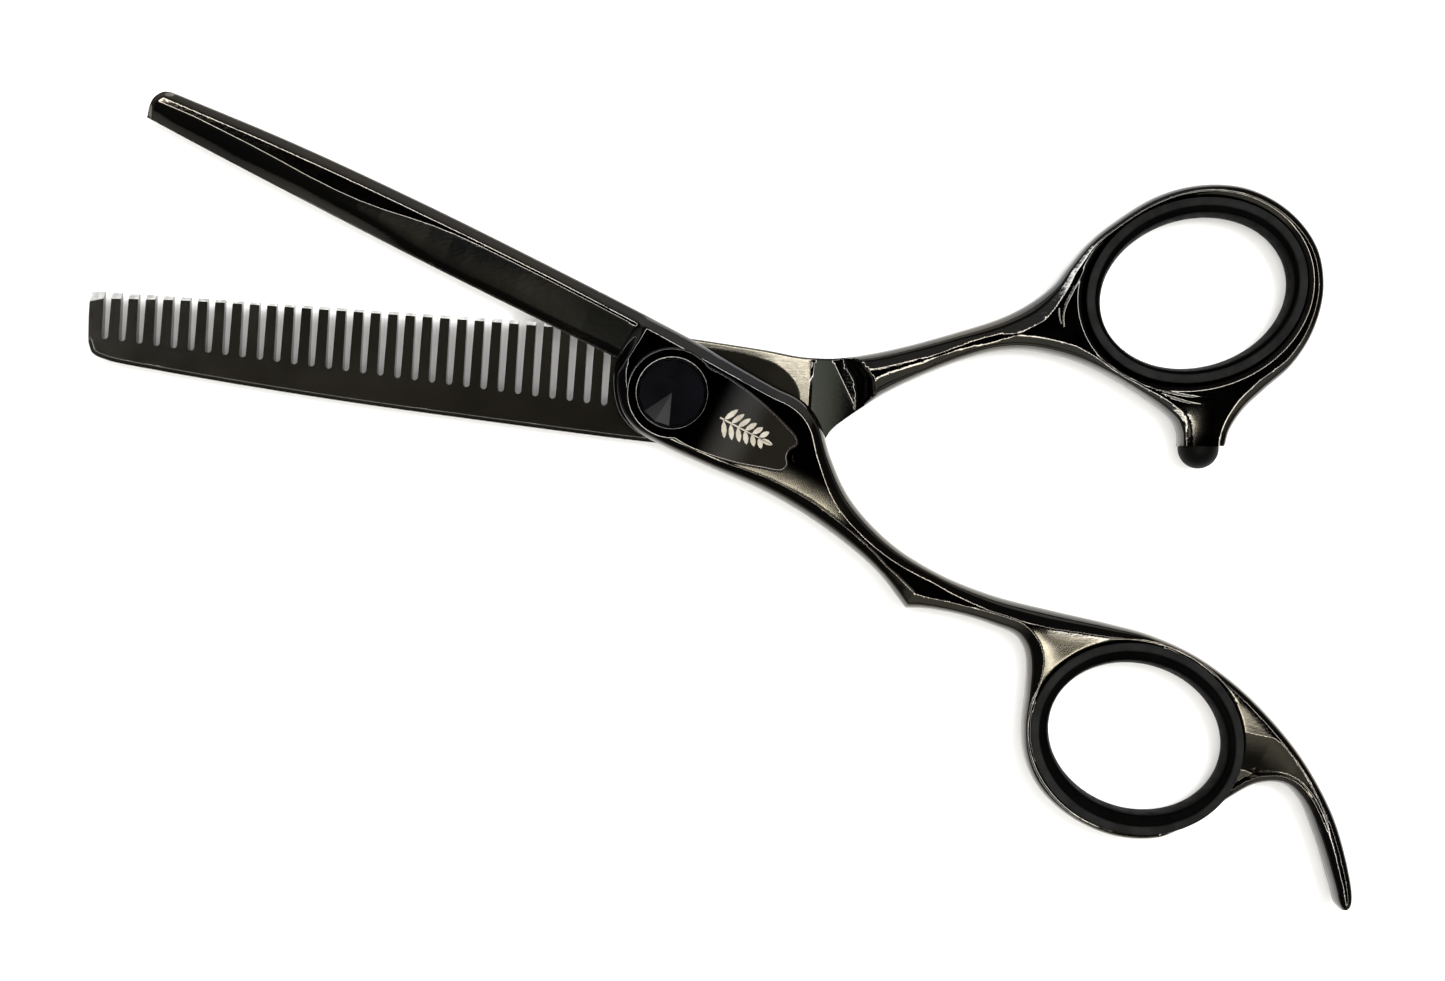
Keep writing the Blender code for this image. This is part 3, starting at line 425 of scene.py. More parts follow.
def ellipse(centre, half_axes, tilt_degrees, sides):
    turn = 2 * math.pi * np.arange(sides) / sides
    tilt = math.radians(tilt_degrees)
    x, y = half_axes[0] * np.cos(turn), half_axes[1] * np.sin(turn)
    return np.column_stack([centre[0] + x * math.cos(tilt) - y * math.sin(tilt),
                            centre[1] + x * math.sin(tilt) + y * math.cos(tilt)])


def circle(radius, sides=96):
    return ellipse((0.0, 0.0), (radius, radius), 0.0, sides)


def arc(centre, radius, start, sweep, steps):
    """Points on an arc, with both ends; angles in radians."""
    turns = [start + sweep * step / steps for step in range(steps + 1)]
    return [(centre[0] + radius * math.cos(turn), centre[1] + radius * math.sin(turn))
            for turn in turns]


def grown(half_axes, amount):
    return (half_axes[0] + amount, half_axes[1] + amount)


def inside_loop(points, loop):
    start = np.array(loop)
    end = np.roll(start, -1, axis=0)
    within = np.zeros(len(points), bool)
    for (x0, y0), (x1, y1) in zip(start, end):
        if y0 != y1:
            crosses = (y0 > points[:, 1]) != (y1 > points[:, 1])
            within ^= crosses & (points[:, 0] < x0 + (points[:, 1] - y0) * (x1 - x0) / (y1 - y0))
    return within


def search_tree(places):
    """A tree that finds the places near a point of the plane."""
    tree = KDTree(len(places))
    for index, (x, y) in enumerate(places.tolist()):
        tree.insert((x, y, 0.0), index)
    tree.balance()
    return tree


class Track:
    """Distances from points of the plane to a run of closely spaced points.

    With band, a width for each of those points, it also tells the width beside a place.
    """

    def __init__(self, run, band=None, closed=False):
        self.run, self.band = np.array(run, float), band
        if closed:
            self.run = np.vstack([self.run, self.run[:1]])
        self.tree = search_tree(self.run)

    def near(self, points):
        """Distances, and the stations on the run, counted in its points."""
        find = self.tree.find
        index = np.array([find((x, y, 0.0))[1] for x, y in points.tolist()], dtype=int)
        best = np.full(len(points), 1e9)
        station = np.zeros(len(points))
        for first in (np.maximum(index - 1, 0), np.minimum(index, len(self.run) - 2)):
            start = self.run[first]
            side = self.run[first + 1] - start
            offset = points - start
            along = np.clip((offset * side).sum(1) / (side ** 2).sum(1), 0.0, 1.0)
            distance = np.linalg.norm(offset - along[:, None] * side, axis=1)
            station = np.where(distance < best, first + along, station)
            best = np.minimum(best, distance)
        return best, station

    def with_band(self, points):
        """Distances, and the width of the band beside each point."""
        distance, station = self.near(points)
        return distance, np.interp(station, np.arange(len(self.band)), self.band)

    def __call__(self, points):
        return self.near(points)[0]


def signed_area(loop):
    x, y = np.array(loop).T
    return 0.5 * float(np.sum(x * np.roll(y, -1) - np.roll(x, -1) * y))


def grid_points(loop, spacing):
    low, high = np.min(loop, axis=0), np.max(loop, axis=0)
    x = np.arange(low[0], high[0], spacing)
    y = np.arange(low[1], high[1], spacing * 0.866)
    rows = np.array([[(px + (row % 2) * spacing / 2, py) for px in x] for row, py in enumerate(y)])
    return rows.reshape(-1, 2)


def rise(value, start, width):
    """Smooth rise from 0 to 1 past a start; a negative width rises the other way."""
    share = np.clip((value - start) / width, 0.0, 1.0)
    return share * share * (3.0 - 2.0 * share)


def positive(value):
    return np.clip(value, 0.0, None)


def soft_positive(value, soft):
    """The positive part of a value, with a rounded corner."""
    return 0.5 * (value + np.sqrt(value * value + soft * soft))


def bevel(distance, width, slope, soft=0.05):
    """Fall of a flat bevel of a width along an edge."""
    return slope * soft_positive(width - distance, soft)


def shoulder(distance, width, facet, strip, glint):
    """Fall of a bevel with a strip of a slightly other slope beside it, which catches the light."""
    return bevel(distance, width, facet, 0.03) + bevel(distance, width + strip, glint, 0.02)


def round_fall(distance, width, drop):
    """Fall of an edge rounded to a quarter of an ellipse."""
    across = np.clip(1.0 - distance / width, 0.0, 0.9999)
    return drop * (1.0 - np.sqrt(1.0 - across ** 2))


def handle_underside(depth):
    """Height of a handle's rounded underside at a distance from its outline."""
    return HANDLE_LOW_Z + round_fall(depth, 1.9, 2.0)


def dish(distance, slope, reach):
    """Fall of a hollow that starts with a slope and flattens out."""
    return slope * reach * (1.0 - np.exp(-positive(distance) / reach))


def beside(line, offsets):
    """Mesh points in rows along a line, at offsets to its left."""
    run = smooth_run(line, PATCH_GRID)
    side = np.gradient(run, axis=0)
    side /= np.linalg.norm(side, axis=1)[:, None]
    left = np.column_stack([-side[:, 1], side[:, 0]])
    return np.vstack([run + left * offset for offset in offsets])


def gaps(points, sites):
    """Distance from every point to the nearest of the sites."""
    tree = search_tree(sites)
    return np.array([tree.find((x, y, 0.0))[2] for x, y in points.tolist()])


def thinned(sites, spacing):
    """Leave out every site that lies close to one kept before it."""
    tree = search_tree(sites)
    kept = np.ones(len(sites), bool)
    for index, (x, y) in enumerate(sites.tolist()):
        if kept[index]:
            for _, other, _ in tree.find_range((x, y, 0.0), spacing):
                if other > index:
                    kept[other] = False
    return sites[kept]


def linked(name, data):
    """A new object in the scene."""
    piece = bpy.data.objects.new(name, data)
    bpy.context.collection.objects.link(piece)
    return piece


class Relief:
    """A closed body over an outline with holes, between two height functions of the plane."""

    def __init__(self, outline, band, plain_edge, holes, grid, lines=(), rows=(), patches=()):
        self.outline, self.holes, self.lines = outline, holes, lines
        measure = Track(outline, closed=True)
        tangent = np.roll(outline, -1, axis=0) - np.roll(outline, 1, axis=0)
        tangent /= np.linalg.norm(tangent, axis=1)[:, None]
        self.inward = np.column_stack([-tangent[:, 1], tangent[:, 0]])
        if signed_area(outline) < 0:
            self.inward = -self.inward
        near = [(~plain_edge, share * band) for share in BAND_ROWS]
        near += [(~plain_edge, band + step) for step in CREST_ROWS]
        near += [(plain_edge, np.full(len(band), step)) for step in EDGE_ROWS]
        sites = []
        for part, offset in near:
            moved = outline[part] + self.inward[part] * offset[part, None]
            sites.append(moved[measure(moved) > 0.97 * offset[part]])
        sites = np.vstack(sites + list(rows))
        for loop, spacing in [(patch, PATCH_GRID) for patch in patches] + [(outline, grid)]:
            field = grid_points(loop, spacing)
            field = field[inside_loop(field, loop) & inside_loop(field, outline)]
            field = field[measure(field) > 0.3 * spacing]
            sites = np.vstack([sites, field[gaps(field, sites) > 0.45 * spacing]])
        sites = thinned(sites, POINT_CLEARANCE)
        keep = inside_loop(sites, outline) & (measure(sites) > EDGE_CLEARANCE)
        for hole in holes:
            away = Track(hole, closed=True)(sites)
            keep &= ~inside_loop(sites, hole) & (away > HOLE_CLEARANCE)
        for line in lines:
            keep &= Track(line)(sites) > LINE_CLEARANCE
        self.sites = sites[keep]

    def skin(self):
        """Triangles over the outline; returns places and counter-clockwise faces."""
        points, edges = [], []
        for loop in [self.outline] + self.holes:
            first = len(points)
            points += [tuple(p) for p in loop]
            edges += [(first + i, first + (i + 1) % len(loop)) for i in range(len(loop))]
        for line in self.lines:
            first = len(points)
            points += [tuple(p) for p in line]
            edges += [(first + i, first + i + 1) for i in range(len(line) - 1)]
        points += [tuple(site) for site in self.sites]
        found = delaunay_2d_cdt([Vector(p) for p in points], edges, [], 0, 1e-6)
        place = np.array([tuple(v) for v in found[0]])
        faces = np.array([tuple(f) for f in found[2]])
        middle = place[faces].mean(axis=1)
        kept = inside_loop(middle, self.outline)
        for hole in self.holes:
            kept &= ~inside_loop(middle, hole)
        faces = faces[kept]
        a, b, c = (place[faces[:, i]] for i in range(3))
        cross = (b[:, 0] - a[:, 0]) * (c[:, 1] - a[:, 1]) - (c[:, 0] - a[:, 0]) * (b[:, 1] - a[:, 1])
        faces[cross < 0] = faces[cross < 0][:, ::-1]
        used = np.unique(faces)
        renumber = np.full(len(place), -1)
        renumber[used] = np.arange(len(used))
        return place[used], renumber[faces]


def skin_normals(height, place, inner, upward):
    """Height at each place, and the surface's direction there from its slope.

    Of the slopes ahead and behind the flatter one counts, so a small step doesn't show.
    """
    step = 0.012
    z = height(place)
    base = height(inner)
    slopes = []
    for shift in ((step, 0.0), (0.0, step)):
        ahead = (height(inner + shift) - base) / step
        behind = (base - height(inner - np.array(shift))) / step
        slopes.append(np.where(np.abs(ahead) < np.abs(behind), ahead, behind))
    normals = np.column_stack([-slopes[0], -slopes[1], np.ones(len(place))]) * (1 if upward else -1)
    return z, normals / np.linalg.norm(normals, axis=1)[:, None]


def wall_normals(place, rim, count):
    """Directions at the corners of the side walls, smooth along curves and sharp at corners."""
    side = place[rim[:, 1]] - place[rim[:, 0]]
    own = np.column_stack([side[:, 1], -side[:, 0]])
    own /= np.linalg.norm(own, axis=1)[:, None]
    leaving, arriving = np.zeros((count, 2)), np.zeros((count, 2))
    leaving[rim[:, 0]] = own
    arriving[rim[:, 1]] = own
    middle = leaving + arriving
    middle /= np.maximum(np.linalg.norm(middle, axis=1), 1e-9)[:, None]
    smooth = (leaving * arriving).sum(1) > math.cos(math.radians(SMOOTH_TURN))
    corners = []
    for end in (1, 0, 0, 1):
        vertex = rim[:, end]
        corners.append(np.where(smooth[vertex][:, None], middle[vertex], own))
    flat = np.stack(corners, axis=1).reshape(-1, 2)
    return np.column_stack([flat, np.zeros(len(flat))])


def relief_mesh(name, relief, low_height, top_height, angle, finishes, choose=None, paint=()):
    """Build the body, turn it to its resting angle and shade it by its own slopes."""
    place, faces = relief.skin()
    count = len(place)
    outer = Track(relief.outline, closed=True)
    depth, station = outer.near(place)
    on_rim = depth < 1e-5
    inner = place.copy()
    nearest = np.rint(station[on_rim]).astype(int) % len(relief.inward)
    inner[on_rim] += 0.03 * relief.inward[nearest]
    top, top_normals = skin_normals(top_height, place, inner, True)
    low, low_normals = skin_normals(low_height, place, inner, False)
    verts = np.vstack([np.column_stack([place, top]), np.column_stack([place, low])])
    directed = np.vstack([faces[:, [0, 1]], faces[:, [1, 2]], faces[:, [2, 0]]])
    _, inverse, uses = np.unique(np.sort(directed, axis=1), axis=0, return_inverse=True,
                                 return_counts=True)
    rim = directed[uses[inverse.ravel()] == 1]
    walls = np.column_stack([rim[:, 1], rim[:, 0], rim[:, 0] + count, rim[:, 1] + count])
    under = faces[:, ::-1]
    normals = np.vstack([top_normals[faces].reshape(-1, 3), low_normals[under].reshape(-1, 3),
                         wall_normals(place, rim, count)])
    turn = math.radians(angle)
    spin = np.array([[math.cos(turn), math.sin(turn)], [-math.sin(turn), math.cos(turn)]])
    verts[:, :2] = verts[:, :2] @ spin
    normals[:, :2] = normals[:, :2] @ spin
    mesh = bpy.data.meshes.new(name)
    mesh.from_pydata((verts * MM).tolist(), [], faces.tolist() + (under + count).tolist()
                     + walls.tolist())
    for finish in finishes:
        mesh.materials.append(finish)
    if choose is not None:
        slots = np.zeros(len(mesh.polygons), dtype=np.int32)
        slots[:len(faces)] = choose(place[faces].mean(axis=1))
        mesh.polygons.foreach_set("material_index", slots)
    for label, values in paint:
        layer = mesh.attributes.new(label, 'FLOAT', 'POINT')
        layer.data.foreach_set("value", np.concatenate([values(place), np.zeros(count)]))
    mesh.shade_smooth()
    mesh.normals_split_custom_set(normals.tolist())
    return linked(name, mesh)


def settle(piece, body, node):
    """Say which body a piece rides on, which node it replaces, if any."""
    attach(piece, body)
    if node:
        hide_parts(node)


def ring_edge(centre, lip, tilt):
    """Distance outside a ring insert's lip."""
    edge = Track(ellipse(centre, lip, tilt, 400), closed=True)
    loop = ellipse(centre, lip, tilt, 90)
    return lambda p: np.where(inside_loop(p, loop), 0.0, edge(p))


# Plain half

def build_plain_half():
    """Ground blade, pivot pad, shank with its crest, finger ring and finger rest."""
    no_tip, no_edge = [0.6] * len(BLADE_TIP), [0.3] * len(BLADE_EDGE)
    runs = [(BLADE_TIP, no_tip), (BLADE_EDGE, no_edge), (PLAIN_PAD, PLAIN_PAD_BAND),
            (FINGER_RING_LOW, FINGER_RING_LOW_BAND), (FINGER_TOP, FINGER_TOP_BAND)]
    outline, band, _ = joined_runs(runs, COARSE)
    low_track = Track(*joined_runs(runs[2:4], FINE)[:2])
    top_track = Track(*smooth_run(FINGER_TOP, FINE, FINGER_TOP_BAND))
    tip_track, edge_track = Track(smooth_run(BLADE_TIP, FINE)), Track(smooth_run(BLADE_EDGE, FINE))
    ridge_x, ridge_y = np.array(BLADE_RIDGE).T
    tang_x, tang_y = np.array(TANG_RIDGE).T
    edge_x, edge_y = np.array(BLADE_EDGE).T
    lip = ring_edge(FINGER_CENTRE, FINGER_LIP, FINGER_TILT)

    def blade(p, from_top, top_width):
        """Height of the blade: hollow ground from the ridge to the edge, with a bevelled spine."""
        x, y = p.T
        thick = BLADE_TIP_THICK + BLADE_HEEL_THICKER * np.clip((x + 70.0) / 62.0, 0.0, 1.0)
        ridge = np.interp(x, ridge_x, ridge_y)
        floor = np.interp(x, edge_x, edge_y)
        width = ridge - floor
        below = positive(ridge - y)
        first = np.interp(x, [-60.0, -46.0, -29.0, -22.0, -13.0], [0.26, 0.25, 0.22, 0.26, 0.4])
        full = thick - EDGE_THICK
        fall = first * soft_positive(ridge - y, 0.05)
        fall += (full - first * width) * (below / width) ** 2
        from_edge = edge_track(p)
        fall += bevel(from_edge, 0.16, 0.9, 0.03) * rise(x, -52.0, 4.0)
        fall += bevel(from_edge, 1.05, 0.06, 0.03)
        glint = np.interp(x, [-68.0, -50.0, -25.0, -8.0], [0.095, 0.122, 0.135, 0.146])
        fall += shoulder(from_top, top_width, 0.4, 0.15, glint)
        fall += 0.11 * positive(top_width - from_top) ** 2
        fall += round_fall(from_top, 0.22, 0.2)
        fall += bevel(tip_track(p), 0.62, 0.7, 0.1)
        return np.maximum(BLADE_LOW_Z + thick - fall, BLADE_LOW_Z + 0.08)

    def handle(p, from_top, top_width, from_low, low_width):
        """Height of pad, shank, ring and rest: crests along both sides, hollows between them."""
        x, y = p.T
        pad = rise(x, 18.0, -4.0)
        glint = np.interp(x, [0.0, 25.0, 50.0, 62.0, 75.0, 90.0],
                          [0.147, 0.154, 0.163, 0.142, 0.1, 0.06])
        top_side = bevel(from_top, top_width, 0.22, 0.03)
        top_side += round_fall(from_top, 0.55 * top_width, EDGE_DROP - 0.6)
        top_side *= 1.0 - pad
        top_side += pad * (bevel(from_top, top_width, 0.7, 0.03) + round_fall(from_top, 0.4, 0.5))
        top_side += bevel(from_top, top_width + 0.15, glint, 0.02)
        facet = np.interp(x, [31.0, 34.5, 47.0, 50.0], [0.3, 0.1, 0.1, 0.3])
        glint = np.interp(x, [0.0, 30.0, 45.0, 65.0, 90.0], [0.176, 0.18, 0.148, 0.10, 0.2])
        strip = np.interp(x, [10.0, 20.0, 34.0, 38.0], [0.15, 0.2, 0.32, 0.15])
        low_side = shoulder(from_low, low_width, facet, strip, glint)
        low_side += round_fall(from_low, np.minimum(0.45 * low_width, 0.7), EDGE_DROP - 0.8)
        inside_low = positive(from_low - low_width)
        inside_top = positive(from_top - top_width)
        slope = np.interp(x, [8.0, 11.0, 22.0, 27.0, 48.0, 51.0], [0.0, 0.16, 0.17, 0.08, 0.03, 0.14])
        reach = np.interp(x, [23.0, 28.0, 48.0, 52.0], [1.6, 2.0, 2.0, 1.8])
        hollow = dish(inside_low, slope, reach)
        ring = rise(x, 47.0, 4.0)
        web = dish(-0.4 * np.log(np.exp(-inside_low / 0.4) + np.exp(-inside_top / 0.4)), 0.15, 1.8)
        hollow = hollow + (web - hollow) * ring
        tang = rise(x, 74.0, 3.0)
        under = (np.interp(x, tang_x, tang_y) - y) * 0.8
        upper = 0.125 * inside_top
        beyond = positive(under)
        lower = 0.2 * beyond + 0.035 * beyond ** 2
        lower *= rise(from_low - low_width, -0.1, 0.5) * rise(x, 96.0, -7.0)
        rest = upper + lower * (under > -0.5)
        hollow = hollow + (rest - hollow) * tang
        hollow += bevel(lip(p), 0.35, 0.6, 0.1) * rise(x, 44.0, 2.0)
        return HANDLE_TOP_Z - top_side - low_side - np.clip(hollow, 0.0, 1.9)

    def top_height(p):
        x, y = p.T
        from_top, top_width = top_track.with_band(p)
        from_low, low_width = low_track.with_band(p)
        z = np.empty(len(p))
        ahead = x < -5.0
        behind = ~ahead | (x > -9.5)
        heel = np.full(len(p), HANDLE_TOP_Z)
        z[ahead] = blade(p[ahead], from_top[ahead], top_width[ahead])
        heel[behind] = handle(p[behind], from_top[behind], top_width[behind], from_low[behind],
                              low_width[behind])
        share = np.where(ahead, rise(x + 7.9 - HEEL_LEAN * (y - 1.0), 0.0, 1.5), 1.0)
        z = np.where(ahead, z, heel)
        return z + (heel - z) * share

    def low_height(p):
        x, y = p.T
        share = rise(np.hypot(x, y), 20.6, 3.4) * (x > 0)
        depth = np.minimum(top_track(p), low_track(p))
        return BLADE_LOW_Z + (handle_underside(depth) - BLADE_LOW_Z) * share

    def worked_and_sheen_paint(p):
        """Where the face is hand finished and painted lighter as a painted reflection: behind the
        plate, and in both webs of the ring.
        """
        x = p[:, 0]
        from_low, low_width = low_track.with_band(p)
        inside_low = from_low - low_width
        from_top, top_width = top_track.with_band(p)
        inside_top = from_top - top_width
        web = rise(x, 9.0, 2.0) * rise(x, 26.0, -3.0)
        web *= rise(inside_low, -0.1, 0.15) * rise(inside_low, 3.2, -2.2)
        ring = rise(x, 49.0, 2.0) * rise(inside_low, -0.05, 0.12)
        ring *= rise(inside_top, 0.15, 0.8) * rise(x, 94.0, -5.0)
        # Less painted reflection on the web beside the tang.
        tang = 1.0 - 0.4 * rise(x, 76.0, 3.0)
        return np.clip(web + 0.85 * ring * tang, 0.0, 1.0)

    bore = ellipse(FINGER_CENTRE, grown(FINGER_LIP, -LIP_OVERLAP), FINGER_TILT, 200)
    ridge_lines = [[(x, np.interp(x, ridge_x, ridge_y) + shift) for x in np.arange(-69.2, -8.0, 0.4)]
                   for shift in (-0.1, 0.0, 0.1)]
    tang_lines = [[(x, np.interp(x, tang_x, tang_y) + shift) for x in np.arange(79.6, 96.4, 0.3)]
                  for shift in (-0.5, -0.35, -0.12, 0.06)]
    heel_lines = [[(shift + HEEL_LEAN * (y - 1.0), y) for y in np.arange(1.3, 6.2, 0.25)]
                  for shift in np.linspace(-7.9, -6.4, 9)]
    webs = [[(47.0, -10.5), (61.0, -10.5), (61.0, -2.0), (47.0, -2.0)],
            [(75.5, -12.0), (90.0, -12.0), (90.0, -3.0), (75.5, -3.0)]]
    holes = [bore, circle(PIVOT_HOLE_RADIUS)]
    relief = Relief(outline, band, np.zeros(len(outline), bool), holes, HALF_GRID,
                    ridge_lines + tang_lines + heel_lines, patches=webs)
    half = relief_mesh("plain_half_detailed", relief, low_height, top_height, PLAIN_ANGLE,
                       [COATED], paint=[("hollow", worked_and_sheen_paint)])
    settle(half, "finger_half", "plain_half")


# Toothed half

def slot_places():
    share = np.arange(SLOT_COUNT) / (SLOT_COUNT - 1)
    x = SLOT_FIRST[0] + share * (SLOT_LAST[0] - SLOT_FIRST[0])
    y = SLOT_FIRST[1] + share * (SLOT_LAST[1] - SLOT_FIRST[1])
    return list(zip(x.tolist(), y.tolist()))


def comb_teeth():
    """The toothed edge, walked from the pivot to the tip, with round slot roots."""
    mouth, root = SLOT_TIP_WIDTH / 2, SLOT_ROOT_WIDTH / 2
    edge = []
    previous = THUMB_RING[-1]
    for x, y in reversed(slot_places()):
        corner = (x + mouth, TOOTH_TIP_Y)
        edge += straight(previous, corner)
        edge += straight(corner, (x + root, y + root))
        edge += arc((x, y + root), root, 0.0, -math.pi, SLOT_ROOT_STEPS)[:-1]
        previous = (x - mouth, TOOTH_TIP_Y)
        edge += straight((x - root, y + root), previous)
    return edge + straight(previous, COMB_FRONT[0])


def tip_bevel(x):
    """Length of the bare ground bevel on the tooth tips, longest on the end tooth."""
    return np.interp(x, [-69.3, -67.8, -66.2, -64.0, -60.0, -55.0, -45.0, -25.0, -12.0],
                     [1.25, 0.85, 0.75, 0.62, 0.45, 0.34, 0.30, 0.36, 0.5])


def bevel_foot(x):
    """Where the tooth tips' bevel starts on the face."""
    return TOOTH_TIP_Y - tip_bevel(x)


def tang_corner(y):
    """The slanting line at which the facet turns flatter, towards the shank."""
    return 18.8 + (5.1 - y) * 0.5625


def tooth_spans():
    """Left and right end of every tooth's tip."""
    half = SLOT_TIP_WIDTH / 2
    places = [x for x, _ in slot_places()]
    spans = [(COMB_FRONT[0][0], places[0] - half)]
    spans += [(left + half, right - half) for left, right in zip(places, places[1:])]
    return spans


def build_toothed_half():
    """Comb, ride, stepped tang, shank with its crest, and thumb ring with the bumper's neck."""
    thin = 0.3
    runs = [(COMB_FRONT, [thin] * len(COMB_FRONT)), (COMB_SPINE, [0.5] * len(COMB_SPINE)),
            (THUMB_SHANK_LOW, THUMB_SHANK_LOW_BAND),
            ([THUMB_SHANK_LOW[-1], THUMB_RING[0]], [0.2, 0.2]), (THUMB_RING, THUMB_RING_BAND)]
    outline, band, owner = joined_runs(runs, COARSE)
    teeth = np.array(comb_teeth())
    outline = np.vstack([outline, teeth])
    plain_edge = np.append((owner == 0) | (outline[:len(owner), 0] < -8.0) & (owner == 4),
                           np.ones(len(teeth), bool))
    band = np.append(band, np.full(len(teeth), thin))
    low_track = Track(*smooth_run(THUMB_SHANK_LOW, FINE, THUMB_SHANK_LOW_BAND))
    top_track = Track(*smooth_run(THUMB_RING, FINE, THUMB_RING_BAND))
    spine_track = Track(smooth_run(COMB_SPINE, FINE))
    ride = smooth_run(RIDE_EDGE, 0.2)
    ride_track = Track(ride)
    ride_loop = np.vstack([ride, [(15.0, -7.0), (-8.0, -7.0), (-8.0, 5.9)]])
    beads = [Track(smooth_run(line, 0.1)) for line in THUMB_BEADS]
    lip = ring_edge(THUMB_CENTRE, THUMB_LIP, THUMB_TILT)
    spine_x, spine_y = np.array(COMB_SPINE[2:7]).T

    def ride_face(p):
        """Height of the side that the plain half rides on, from the comb to the sloping facet."""
        x, y = p.T
        z = np.full(len(p), CONTACT_Z)
        comb = x < 19.0
        spine = np.full(len(p), 9.0)
        spine[comb] = spine_track(p[comb])
        z -= bevel(spine, 0.42, 0.5, 0.05) * rise(x, 6.0, -4.0)
        z -= 0.75 * positive(y - bevel_foot(x)) * (x < -7.5)
        lens = (x > 0.0) & (x < 19.0) & ~inside_loop(p, ride_loop)
        slope = np.interp(x, [5.0, 9.0, 12.5], [0.095, 0.10, 0.125])
        outside = np.where(lens, ride_track(p), 0.0)
        flat = z - slope * outside
        past = x - 16.4
        facet = 2.72 - 0.195 * past - 0.009 * positive(past) ** 2
        z = flat + (facet - flat) * rise(x, STEP_START, STEP_END - STEP_START)
        z += 0.25 * soft_positive(x - tang_corner(y), 0.08)
        return np.minimum(z, CONTACT_Z)

    def top_height(p):
        x = p[:, 0]
        face = ride_face(p)
        from_top, top_width = top_track.with_band(p)
        face -= bevel(from_top, 0.16, 1.0, 0.04) * rise(x, 0.0, 2.0)
        back = x > 18.0
        q = p[back]
        if not len(q):
            return face
        qx, qy = q.T
        from_low, low_width = low_track.with_band(q)
        from_top, top_width = from_top[back], top_width[back]
        top_glint = np.interp(qx + qy, [30.0, 50.0, 75.0, 90.0], [0.14, 0.131, 0.07, 0.0])
        facet = np.interp(qx + qy, [50.0, 75.0, 90.0], [0.11, 0.13, 0.2])
        strip = np.interp(qx, [24.0, 30.0, 40.0, 46.0], [0.34, 0.3, 0.2, 0.15])
        top_side = shoulder(from_top, top_width, facet, strip, top_glint)
        top_side += round_fall(from_top, 0.55 * top_width, EDGE_DROP - 0.5)
        low_glint = np.interp(qx, [25.0, 35.0, 50.0, 60.0], [0.18, 0.19, 0.21, 0.2])
        low_side = shoulder(from_low, low_width, 0.1, strip, low_glint)
        low_side += round_fall(from_low, 0.55 * low_width, EDGE_DROP - 0.5)
        inside = np.minimum(from_low - low_width, from_top - top_width)
        hollow = dish(inside, 0.012, 2.5)
        from_lip = lip(q)
        ring = rise(qx, 43.0, 3.0)
        hollow += ring * bevel(from_lip, 0.9, 0.4, 0.12) * rise(inside, -0.25, 0.3)
        beaded = sum(np.exp(-(bead(q) / 0.12) ** 2) for bead in beads)
        taper = np.where(qy < 8.0, rise(qx, 63.5, -4.0), rise(qy, 20.0, -6.0))
        hollow -= 0.03 * beaded * taper * (qx > 40.0) * rise(inside, 0.1, 0.4)
        across = np.clip(qx - 61.9, -1.6, 1.6)
        hollow -= 0.03 * across ** 2 * rise(qy, 3.0, -2.5) * (qx > 50.0)
        handle = HANDLE_TOP_Z - top_side - low_side - hollow
        end = np.interp(qy, [1.5, 3.5, 4.4, 5.2, 5.6], [24.0, 23.75, 23.2, 22.6, 21.8])
        start = np.maximum(20.6, end - 2.4)
        share = rise(np.hypot(qx, qy), start, end - start)
        z = face
        z[back] = face[back] + (handle - face[back]) * share
        return z

    def low_height(p):
        x, y = p.T
        share = np.clip((TOOTH_TIP_Y - y) / (TOOTH_TIP_Y + 5.0), 0.0, 1.0)
        blade = CONTACT_Z - 1.1 - share * 0.8
        from_spine = np.clip(y - np.interp(x, spine_x, spine_y), 0.0, 1.6)
        blade += 0.5 * (1.0 - from_spine / 1.6)
        depth = np.minimum(top_track(p), low_track(p))
        near = np.minimum(depth, spine_track(p))
        pad = np.maximum(PAD_LOW_Z, PAD_LOW_Z + 0.8 - near)
        low = blade + (pad - blade) * rise(x, -9.0, 3.0)
        return low + (handle_underside(depth) - low) * rise(x, 14.0, 8.0)

    def finish(p):
        """Material number: bare steel on the tooth tips' bevel."""
        x, y = p.T
        return ((y > bevel_foot(x)) & (x < -7.0)).astype(np.int32)

    def satin_and_sheen_paint(p):
        x = p[:, 0]
        return rise(x, 15.6, -0.3) * (inside_loop(p, ride_loop) | (x < 1.0))

    # Painted reflection: the lens facet and a soft streak on the bumper's neck get the lighter hollow
    # colour.
    def worked_and_sheen_paint(p):
        x, y = p.T
        lens = (x > 1.0) & (x < 16.1) & ~inside_loop(p, ride_loop)
        neck = 0.5 * np.exp(-((x - 61.5) / 1.1) ** 2 - ((y - 0.8) / 2.0) ** 2)
        return np.clip(0.6 * lens + neck, 0.0, 1.0)

